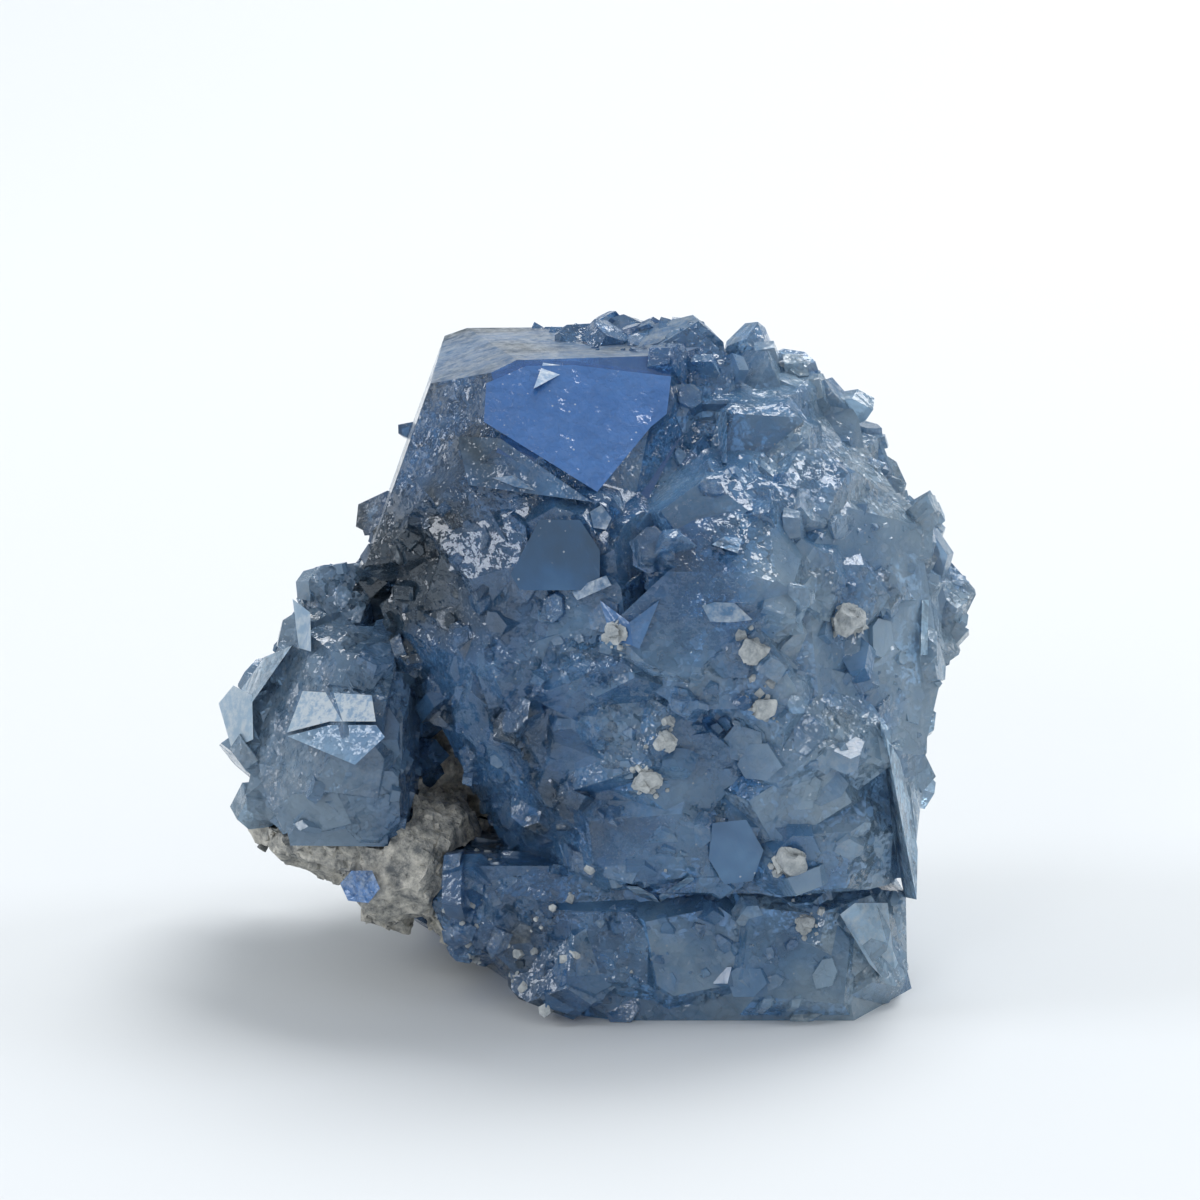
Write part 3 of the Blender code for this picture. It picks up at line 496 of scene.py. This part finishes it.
def standing_faces(name, rows, host, glass, most_proud):
    """A block for each row, and the places that they cover as middles and reaches in mm. Each face
    lies in a plane that leans as its row says, or turned toward the best-fit plane of the host under
    it where it would stand out too far, and its block goes straight back from it into the host."""
    tree = BVHTree.FromPolygons(
        [v.co for v in host.data.vertices], [p.vertices for p in host.data.polygons])
    eye = np.array(camera.location) / MM
    corners, faces, values, covers = [], [], [], []
    for depth, lean, tone, frost_and_highlight, blue, outline in rows:
        ways = np.array([seen_at(across, depth, up) for across, up in outline])
        middle_way = unit(ways.mean(0))
        place, _, _, middle_reach = tree.ray_cast(camera.location, Vector(middle_way))
        if place is None:
            continue
        middle = np.array(place) / MM
        inward = [unit(middle_way + (way - middle_way) * part) for part in PROBED for way in ways]
        probes = np.concatenate([ways, inward])
        hits = [tree.ray_cast(camera.location, Vector(way))[3] for way in probes]
        lying = np.array([(middle_reach if reach is None else reach) / MM for reach in hits])
        spots = probes * lying[:, None]
        _, _, fitted = np.linalg.svd(spots - spots.mean(0))
        flat_way = fitted[2] * -np.sign(fitted[2] @ middle_way)
        for share in np.linspace(0, 1, LEAN_STEPS):
            normal = unit(np.array(facing(*lean)) * (1 - share) + flat_way * share)
            reach = ((middle - eye) @ normal) / (probes @ normal)
            if np.ptp(lying - reach) < most_proud - LEAST_PROUD:
                break
        reach = reach - LEAST_PROUD + (lying - reach).min()
        reach = np.maximum(reach, lying - most_proud - LEAST_PROUD)[:len(ways)]
        lying = lying[:len(ways)]
        front = eye + ways * reach[:, None]
        back = eye + ways * (lying.max() + ROOT_DEPTH)
        count, first = len(outline), len(corners)
        ring = list(range(count))
        if np.cross(front - middle, np.roll(front, -1, axis=0) - middle).sum(0) @ middle_way > 0:
            ring.reverse()
        # A half-hazy face is the most broken, a clear or white one is even.
        broken = max(0.0, 4 * frost_and_highlight * (1 - frost_and_highlight))
        corners += [*front, *back]
        faces += [[first + n for n in ring], [first + count + n for n in ring[::-1]]]
        faces += [[first + b, first + a, first + count + a, first + count + b]
                  for a, b in zip(ring, ring[1:] + ring[:1])]
        values += [(tone, frost_and_highlight, blue, broken)] * (2 * count)
        covers.append((middle, 0.6 * np.linalg.norm(front - front.mean(0), axis=1).max() + 0.6))
    low, high = (np.array(c) / MM for c in cad_box)
    mesh = bpy.data.meshes.new(name)
    mesh.from_pydata((np.clip(corners, low, high) * MM).tolist(), [], faces)
    across = np.array(corners) @ unit(np.array((1.0, 0.3, 0.5)))
    columns = (*np.array(values).T, across)
    for key, numbers in zip(("tone", "frost_and_highlight", "blue", "broken", "across"), columns):
        write_attribute(mesh, key, "POINT", np.ascontiguousarray(numbers))
    mesh.materials.append(glass)
    thing = placed(name, mesh)
    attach(thing, "root")
    return covers


milky_celestite = celestite(
    "celestite_milky", ("#40576b", "#44719f", "#6698c6", "#a6c8e2"), "#9cc4e4", 17.0, BLOCK_SPAN, 0.35)
block_covers = standing_faces(
    "block_faces", BLOCK_FACES, main_crystals, milky_celestite, 2.0)


# Small crystals and small broken faces that cover the block, of the same celestite, grown into each
# other and into it. Those near each other point almost the same way, so that they flash together.
SIDE_SLANT = 0.39          # run of the slanting side faces for each unit of thickness
ROOF_SLOPE = 1.217         # drop of the roof for each unit of its run, from the angle of the roof faces
MOST_PROUD = 0.75          # how far any of them stands out, in mm
BAND_SIZE = 13.0           # distance over which the way that crystals point changes, in mm
PATCH_SIZE = 7.0           # size of the patches that have small crystals
PATCH_LEVEL = 0.52         # share of the surface, about, that has none
UNDERSIDE = 1.2            # height up to which the specimen is bare, in mm


def scrambled(cells, salt):
    """A number from 0 to 1 for each cell of a grid, the same one each time."""
    mixed = (cells[..., 0] * 73856093) ^ (cells[..., 1] * 19349663) ^ (cells[..., 2] * 83492791)
    mixed = (mixed ^ (salt * 2654435761)) & 0xFFFFFFFF
    for shift, factor in ((16, 2246822519), (13, 3266489917), (16, 668265263)):
        mixed = ((mixed ^ (mixed >> shift)) * factor) & 0xFFFFFFFF
    return mixed / 0xFFFFFFFF


def soft_noise(points, spacing, salt):
    """Soft noise from 0 to 1: random values at the corners of a grid, blended between them."""
    scaled = points / spacing
    low = np.floor(scaled).astype(np.int64)
    part = scaled - low
    part = part * part * (3 - 2 * part)
    total = np.zeros(len(points))
    for corner in np.ndindex(2, 2, 2):
        weight = np.prod(np.where(np.array(corner), part, 1 - part), axis=1)
        total += weight * scrambled(low + np.array(corner), salt)
    return total


def surface_sites(thing, count, clear, rng):
    """Places spread over the surface by area, with its outward way there, in mm. Clear places, each
    a middle and a reach, get none."""
    mesh = thing.data
    corners = rows_of(mesh.vertices, "co", 3) / MM
    index = np.empty(len(mesh.loops), np.int32)
    mesh.loops.foreach_get("vertex_index", index)
    triangles = corners[index.reshape(-1, 3)]
    normal = np.cross(triangles[:, 1] - triangles[:, 0], triangles[:, 2] - triangles[:, 0])
    area = np.linalg.norm(normal, axis=1)
    pick = rng.choice(len(area), count, p=area / area.sum())
    a, b = rng.random(count), rng.random(count)
    flip = a + b > 1
    a, b = np.where(flip, 1 - a, a), np.where(flip, 1 - b, b)
    chosen = triangles[pick]
    place = chosen[:, 0] + (chosen[:, 1] - chosen[:, 0]) * a[:, None]
    place += (chosen[:, 2] - chosen[:, 0]) * b[:, None]
    keep = place[:, 2] > UNDERSIDE
    for middle, reach in clear:
        keep &= np.linalg.norm(place - np.array(middle), axis=1) > reach
    return place[keep], unit(normal[pick])[keep]


def crystal_corners(width, thick, rooted, ridge):
    """Corners of crystals about their tips: a six-sided prism below, then a roof of two faces along
    the ridge and one face down to each end. The end faces' slope is what makes them meet the roof."""
    half, deep = width / 2, thick / 2
    flat = half - SIDE_SLANT * thick
    crest = flat * ridge
    roof_drop = deep * ROOF_SLOPE
    end_drop = (half - crest) * roof_drop / (flat - crest)
    zero = np.zeros_like(width)
    foot = -end_drop - rooted
    rows = []
    for level, end in ((foot, foot), (-roof_drop, -end_drop)):
        rows += [(half, zero, end), (flat, deep, level), (-flat, deep, level),
                 (-half, zero, end), (-flat, -deep, level), (flat, -deep, level)]
    rows += [(crest, zero, zero), (-crest, zero, zero)]
    return np.stack([np.stack(np.broadcast_arrays(*row), -1) for row in rows], 1)


CRYSTAL_SIDES = [(n, (n + 1) % 6, 6 + (n + 1) % 6, 6 + n) for n in range(6)]
CRYSTAL_TOP = [(6, 7, 12, 11), (9, 10, 13, 8), (7, 8, 13, 12), (10, 11, 12, 13)]
CRYSTAL_FOOT = [(5, 4, 3, 2, 1, 0)]
CRYSTAL_FACES = CRYSTAL_SIDES + CRYSTAL_TOP + CRYSTAL_FOOT


def joined_mesh(name, corners, faces, attributes):
    """One mesh of many like shapes: corners is shapes by corners by 3, in metres, and the faces are
    those of one shape. Each attribute has a value for each shape, or for each of its corners."""
    shapes, per_shape = corners.shape[:2]
    sizes = [len(face) for face in faces]
    one = np.concatenate([np.array(face) for face in faces])
    index = (one[None, :] + per_shape * np.arange(shapes)[:, None]).ravel()
    mesh = bpy.data.meshes.new(name)
    mesh.vertices.add(shapes * per_shape)
    mesh.vertices.foreach_set("co", corners.ravel())
    mesh.loops.add(len(index))
    mesh.loops.foreach_set("vertex_index", index)
    mesh.polygons.add(shapes * len(faces))
    starts = np.concatenate([[0], np.cumsum(sizes)[:-1]])
    starts = (starts[None, :] + len(one) * np.arange(shapes)[:, None]).ravel()
    mesh.polygons.foreach_set("loop_start", starts)
    mesh.update(calc_edges=True)
    mesh.shade_flat()
    for key, values in attributes.items():
        values = np.broadcast_to(values.reshape(shapes, -1), (shapes, per_shape))
        write_attribute(mesh, key, "POINT", values.ravel())
    return placed(name, mesh)


def set_in(corners, place, normal, axis, roll, stand):
    """Turns each shape's own up to its axis and rolls it, then sinks it along the normal there until
    its highest corner stands out by its stand."""
    helper = np.where(np.abs(axis[:, 2:]) > 0.9, (1.0, 0.0, 0.0), (0.0, 0.0, 1.0))
    level = unit(np.cross(helper, axis))
    other = np.cross(axis, level)
    along = level * np.cos(roll)[:, None] + other * np.sin(roll)[:, None]
    across = np.cross(axis, along)
    world = place[:, None] + sum(
        corners[..., k, None] * way[:, None] for k, way in enumerate((along, across, axis)))
    reach = ((world - place[:, None]) * normal[:, None]).sum(-1).max(1)
    world -= (normal * (reach - stand)[:, None])[:, None]
    low, high = (np.array(c) / MM for c in cad_box)
    return np.clip(world, low + (0, 0, 0.05), high)


def grown_ways(place, normal, lean, seed, rng):
    """Ways to point and rolls that change softly from place to place, near the way out."""
    drift = np.stack([soft_noise(place, BAND_SIZE, seed + k) for k in range(4)], -1) - 0.5
    axis = unit(normal + drift[:, :3] * lean + rng.normal(0, 0.12, (len(place), 3)))
    axis = unit(np.where((axis * normal).sum(1)[:, None] < 0.4, axis + normal, axis))
    return axis, drift[:, 3] * 9 + rng.normal(0, 0.12, len(place))


def small_crystals(name, host, count, clear, width, proud, frost_and_highlight, seed):
    """Crystals set into the host's surface. Their widths favour the small ones, as a power of chance,
    and each is sunk until its highest corner stands out by a share of its width."""
    rng = np.random.default_rng(seed)
    place, normal = surface_sites(host, count, clear, rng)
    patch = soft_noise(place, PATCH_SIZE, seed + 9) > PATCH_LEVEL
    place, normal = place[patch], normal[patch]
    count = len(place)
    wide = width[0] + (width[1] - width[0]) * rng.random(count) ** 3
    thick = wide * rng.uniform(0.4, 0.75, count)
    axis, roll = grown_ways(place, normal, 1.6, seed, rng)
    corners = crystal_corners(wide, thick, wide * 0.5 + 0.4, rng.uniform(0.0, 0.45, count))
    stand = np.minimum(wide * rng.uniform(*proud, count), MOST_PROUD)
    world = set_in(corners, place, normal, axis, roll, stand)
    attributes = {
        "tone": rng.random(count),
        "frost_and_highlight": np.clip(rng.random(count) ** 2 * frost_and_highlight[1] + frost_and_highlight[0], 0, 1),
        "blue": np.zeros(count),
        "broken": rng.random(count) * 0.6,
        "across": corners[..., 0] + corners[..., 1] * 0.6 + 40 * rng.random(count)[:, None]}
    return joined_mesh(name, world * MM, CRYSTAL_FACES, attributes)


def plate_corners(width, length, rooted, rng):
    """Corners of flat-topped six-sided blocks about the middle of their tops, wider at the root."""
    count = len(width)
    turn = math.pi / 3 * np.arange(6) + rng.uniform(-0.28, 0.28, (count, 6))
    out = rng.uniform(0.8, 1.0, (count, 6))
    wide_part = np.cos(turn) * out * width[:, None] / 2
    long_part = np.sin(turn) * out * length[:, None] / 2
    ring = np.stack([wide_part, long_part], -1)
    top = np.concatenate([ring, np.zeros((count, 6, 1))], -1)
    low = np.concatenate([ring * 1.25, np.broadcast_to(-rooted[:, None, None], (count, 6, 1))], -1)
    return np.concatenate([low, top], 1)


PLATE_FACES = CRYSTAL_SIDES + [(6, 7, 8, 9, 10, 11)] + CRYSTAL_FOOT


def broken_faces(name, host, count, clear, width, lean, frost_and_highlight, seed):
    """Flat-topped blocks set into the host's surface at a lean, for its many small broken faces."""
    rng = np.random.default_rng(seed)
    place, normal = surface_sites(host, count, clear, rng)
    count = len(place)
    wide = width[0] + (width[1] - width[0]) * rng.random(count) ** 2
    long = wide * rng.uniform(0.6, 1.5, count)
    axis, roll = grown_ways(place, normal, lean, seed, rng)
    corners = plate_corners(wide, long, wide * 0.35 + 0.5, rng)
    stand = np.minimum(wide * rng.uniform(0.08, 0.3, count), MOST_PROUD)
    world = set_in(corners, place, normal, axis, roll, stand)
    attributes = {
        "tone": rng.random(count),
        "frost_and_highlight": np.clip(rng.random(count) ** 2 * frost_and_highlight[1] + frost_and_highlight[0], 0, 1),
        "blue": np.zeros(count),
        "broken": rng.random(count) * 0.6,
        "across": corners[..., 0] + corners[..., 1] * 0.3 + 40 * rng.random(count)[:, None]}
    return joined_mesh(name, world * MM, PLATE_FACES, attributes)


# Places on the block that stay bare, each a middle and a reach in mm: the kite-shaped face and the
# others of the crown.
CROWN_CLEAR = (
    ((-2.0, -14.5, 70.0), 12.5),
    ((-12.0, 3.0, 74.5), 12.0),
    ((-14.0, 13.0, 75.0), 7.0),
    ((-22.0, -5.0, 64.0), 11.0),
    ((-21.0, 8.0, 64.0), 13.0),
    ((-9.0, -18.5, 61.0), 6.0),
    ((7.0, -19.0, 62.0), 5.5),
    ((19.0, -8.0, 69.0), 6.0),
    ((28.0, -6.0, 67.0), 6.5),
    ((14.0, 6.0, 74.0), 5.0),
    ((-5.0, -22.0, 54.5), 4.0),
)

block_breaks = broken_faces(
    "block_breaks", main_crystals, 1300, [*CROWN_CLEAR, *block_covers],
    width=(1.4, 6.0), lean=1.4, frost_and_highlight=(0.0, 0.6), seed=5)
block_crystals = small_crystals(
    "block_crystals", main_crystals, 3000, [*CROWN_CLEAR, *block_covers],
    width=(0.5, 3.4), proud=(0.1, 0.4), frost_and_highlight=(0.0, 0.8), seed=12)
for piece in (block_breaks, block_crystals):
    piece.data.materials.append(deep_celestite)
    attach(piece, "root")


# The smaller cluster on the left: the same mineral, paler, its crystals whole. It grew beside the
# large block on the same rock, and a deep crack parts them.
PALE_BLUES = ("#a8c4da", "#88adcf", "#6592c2")
CLUSTER_SPAN = (-45.0, -14.0)      # from where to where, across, its colours run, in mm

pale_celestite = celestite("celestite_pale", PALE_BLUES, "#aecbe4", 12.0, CLUSTER_SPAN, 0.6)
side_crystals = facet_copy("side_crystals", "celestite_cluster", 8)
side_crystals.data.materials.clear()
side_crystals.data.materials.append(pale_celestite)
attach(side_crystals, "root")
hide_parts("side_crystals")

CLUSTER_FACES = (
    # The first row is the ledge, painted white by a frost above 1: a painted reflection of a bright
    # window.
    (-18.6, (-22, 52), 0.0, 2.4, 0.0, (
        (-35.6, 32.7), (-33.7, 37.6), (-25.8, 37.1), (-25.4, 34.0), (-30.7, 34.0))),
    (-19.5, (-22, 0), 0.6, 0.1, 0.0, (
        (-35.5, 32.5), (-30.6, 33.8), (-25.3, 33.8), (-24.3, 32.4), (-27.8, 29.1))),
    (-15.0, (-60, 16), 0.1, 1.0, 0.0, ((-35.0, 47.6), (-33.0, 46.0), (-33.0, 41.4), (-34.4, 41.8))),
    (-11.0, (-54, 24), 0.2, 0.6, 0.0, ((-38.9, 39.8), (-35.6, 41.2), (-40.4, 34.4), (-41.6, 36.0))),
    (-6.0, (-48, 12), 0.0, 1.4, 0.0, (
        (-45.0, 33.0), (-43.2, 35.2), (-41.0, 34.0), (-41.0, 28.6), (-43.6, 27.4))),
)

pale_milky = celestite("celestite_pale_milky", PALE_BLUES, "#aecbe4", 12.0, CLUSTER_SPAN, 0.3)
cluster_covers = standing_faces(
    "cluster_faces", CLUSTER_FACES, side_crystals, pale_milky, 3.8)
cluster_breaks = broken_faces(
    "cluster_breaks", side_crystals, 150, cluster_covers,
    width=(1.6, 6.0), lean=1.2, frost_and_highlight=(0.0, 0.5), seed=17)
cluster_crystals = small_crystals(
    "cluster_crystals", side_crystals, 300, cluster_covers,
    width=(0.8, 3.6), proud=(0.1, 0.35), frost_and_highlight=(0.0, 0.6), seed=31)
for piece in (cluster_breaks, cluster_crystals):
    piece.data.materials.append(pale_celestite)
    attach(piece, "root")


# The rock: granular grey-cream limestone that the crystals grew on, matt and rough where it broke
# out of the wall of the geode.
ROCK_EDGE = 1.0            # longest edge of its mesh in mm
LUMP_SIZE = 3.2            # sizes of its lumps and grains in mm
GRAIN_SIZE = 1.1
MOST_RAISED = 0.25         # how far a point may be pushed out, in mm
FLAT_BELOW = 0.3           # height up to which it stays flat to stand on, in mm


def fine_copy(node, name, edge):
    """The node's solid with its corners merged and its long edges halved until all are short."""
    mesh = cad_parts[node].data.copy()
    mesh.name = name
    work = bmesh.new()
    work.from_mesh(mesh)
    bmesh.ops.remove_doubles(work, verts=work.verts, dist=1e-6)
    bmesh.ops.dissolve_degenerate(work, edges=work.edges, dist=1e-6)
    bmesh.ops.triangulate(work, faces=work.faces)
    for _ in range(12):
        long_edges = [e for e in work.edges if e.calc_length() > edge * MM]
        if not long_edges:
            break
        bmesh.ops.subdivide_edges(work, edges=long_edges, cuts=1)
        bmesh.ops.triangulate(work, faces=[f for f in work.faces if len(f.verts) > 3])
    work.to_mesh(mesh)
    work.free()
    return placed(name, mesh)


def roughen(thing, seed, lumps=1.3, grains=0.9):
    """Moves every point along its normal by lumps and grains of soft noise, mostly inward."""
    mesh = thing.data
    points = rows_of(mesh.vertices, "co", 3) / MM
    normals = rows_of(mesh.vertices, "normal", 3)
    height = (soft_noise(points, LUMP_SIZE, seed) - 0.6) * lumps
    height += (soft_noise(points, GRAIN_SIZE, seed + 1) - 0.5) * grains
    height = np.minimum(height, MOST_RAISED)
    low, high = (np.array(c) / MM for c in cad_box)
    moved = points + normals * height[:, None]
    moved[:, 2] = np.where(points[:, 2] < FLAT_BELOW, points[:, 2], moved[:, 2])
    mesh.vertices.foreach_set("co", (np.clip(moved, low, high) * MM).ravel())
    mesh.update()


STAIN_SIZE = 2.5           # size of its darker and lighter patches in mm
GRIT = 0.4                 # size of its grit in mm, as coarse as shows


def limestone(name, dark, light):
    """Matt stone between two colours by noise in patches, with a fine gritty bump."""
    material, output = new_material(name)
    place = add_node(material, "ShaderNodeTexCoord").outputs["Object"]
    stain = add_node(
        material, "ShaderNodeTexNoise", [("Vector", place)],
        [("Scale", 1 / (STAIN_SIZE * MM)), ("Detail", 8.0), ("Roughness", 0.75)])
    tone = add_node(
        material, "ShaderNodeMapRange", [("Value", stain.outputs["Fac"])],
        [("From Min", 0.38), ("From Max", 0.62)])
    base = add_node(
        material, "ShaderNodeMix", [("Factor", tone.outputs[0])],
        [(6, linear(dark)), (7, linear(light))], data_type="RGBA")
    grain = add_node(
        material, "ShaderNodeTexNoise", [("Vector", place)],
        [("Scale", 1 / (GRIT * MM)), ("Detail", 4.0)])
    bump = add_node(
        material, "ShaderNodeBump", [("Height", grain.outputs["Fac"])],
        [("Strength", 1.0), ("Distance", 0.3 * MM)])
    shader = add_node(
        material, "ShaderNodeBsdfPrincipled",
        [("Base Color", base.outputs[2]), ("Normal", bump.outputs[0])], [("Roughness", 0.92)])
    material.node_tree.links.new(shader.outputs["BSDF"], output.inputs["Surface"])
    return material


matrix = fine_copy("matrix", "rough_rock", ROCK_EDGE)
roughen(matrix, 21)
matrix.data.materials.clear()
matrix.data.materials.append(limestone("limestone", "#676b6d", "#d6d2c8"))
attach(matrix, "root")
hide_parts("matrix")


# Grains of the same limestone that stand out of the rock all over, and one small blue crystal that
# grew in its face.
def grains(name, place, normal, sizes, stone, slot, seed):
    """Small flat-topped lumps, smallest to largest of the sizes and mostly small, each sunk until
    it stands out by 0.4 of its width, and pointing its own way near the way out."""
    rng = np.random.default_rng(seed)
    count = len(place)
    wide = sizes[0] + (sizes[1] - sizes[0]) * rng.random(count) ** 2
    axis = unit(normal + rng.normal(0, 0.5, (count, 3)))
    corners = plate_corners(wide, wide * rng.uniform(0.7, 1.1, count), wide * 0.8, rng)
    world = set_in(corners, place, normal, axis, rng.uniform(0, 6.3, count), wide * 0.4)
    thing = joined_mesh(name, world * MM, PLATE_FACES, {"tone": rng.random(count)})
    thing.data.materials.append(stone)
    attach(thing, "root")
    return thing


ROCK_CRYSTALS = (
    (-13.5, (-30, 20), 0.6, 0.6, 0.7, (
        (-30.3, 13.0), (-28.9, 14.6), (-26.5, 14.6), (-25.6, 12.4), (-27.0, 10.6), (-29.4, 10.9))),
)
rock_covers = standing_faces("rock_crystals", ROCK_CRYSTALS, matrix, pale_milky, 1.5)
rock_places, rock_ways = surface_sites(matrix, 2600, rock_covers, np.random.default_rng(51))
grains("rock_grains", rock_places, rock_ways, (0.5, 1.9), matrix.data.materials[0], "limestone", 52)


# Crumbs of the rock that stayed on the front of the crystals, pale and sugary, with loose grains
# about them, and grains in the hollows of the base's left end.
CRUMB_EDGE = 0.4           # longest edge of a crumb's mesh in mm
CRUMB_SPREAD = 1.6         # how far about a crumb its grains lie, in mm
RIM_SAND = (-9.0, -19.0, 8.0)      # middle of the sandy patch on the base's left end
RIM_SPREAD = (13.0, 9.0, 6.0)      # and how far it reaches from there, in mm
RIM_PATCHES = 3.0                  # size of the bare places in it, in mm
crumb_stone = limestone("limestone_crumb", "#8b949b", "#ccd0d0")
crumb_middles = []
for node in sorted(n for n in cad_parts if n.startswith("matrix_crumb")):
    crumb = fine_copy(node, node + "_grains", CRUMB_EDGE)
    roughen(crumb, 40, lumps=1.9, grains=1.0)
    crumb.data.materials.clear()
    crumb.data.materials.append(crumb_stone)
    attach(crumb, "root")
    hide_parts(node)
    crumb_middles.append(np.mean([v.co for v in crumb.data.vertices], axis=0) / MM)

spread = np.random.default_rng(61)
rim_places, rim_ways = surface_sites(main_crystals, 16000, [], spread)
sandy = np.exp(-(np.linalg.norm((rim_places - RIM_SAND) / RIM_SPREAD, axis=1)) ** 2)
sandy *= soft_noise(rim_places, RIM_PATCHES, 63) > 0.55
sandy = spread.random(len(rim_places)) < sandy * 0.8
grains("rim_grains", rim_places[sandy], rim_ways[sandy], (0.4, 1.7), crumb_stone, "limestone_crumb", 64)
places, ways = surface_sites(main_crystals, 60000, [], spread)
away = np.min([np.linalg.norm(places - middle, axis=1) for middle in crumb_middles], axis=0)
near = spread.random(len(places)) < np.exp(-(away / CRUMB_SPREAD) ** 2)
grains("crumb_grains", places[near], ways[near], (0.3, 1.4), crumb_stone, "limestone_crumb", 62)
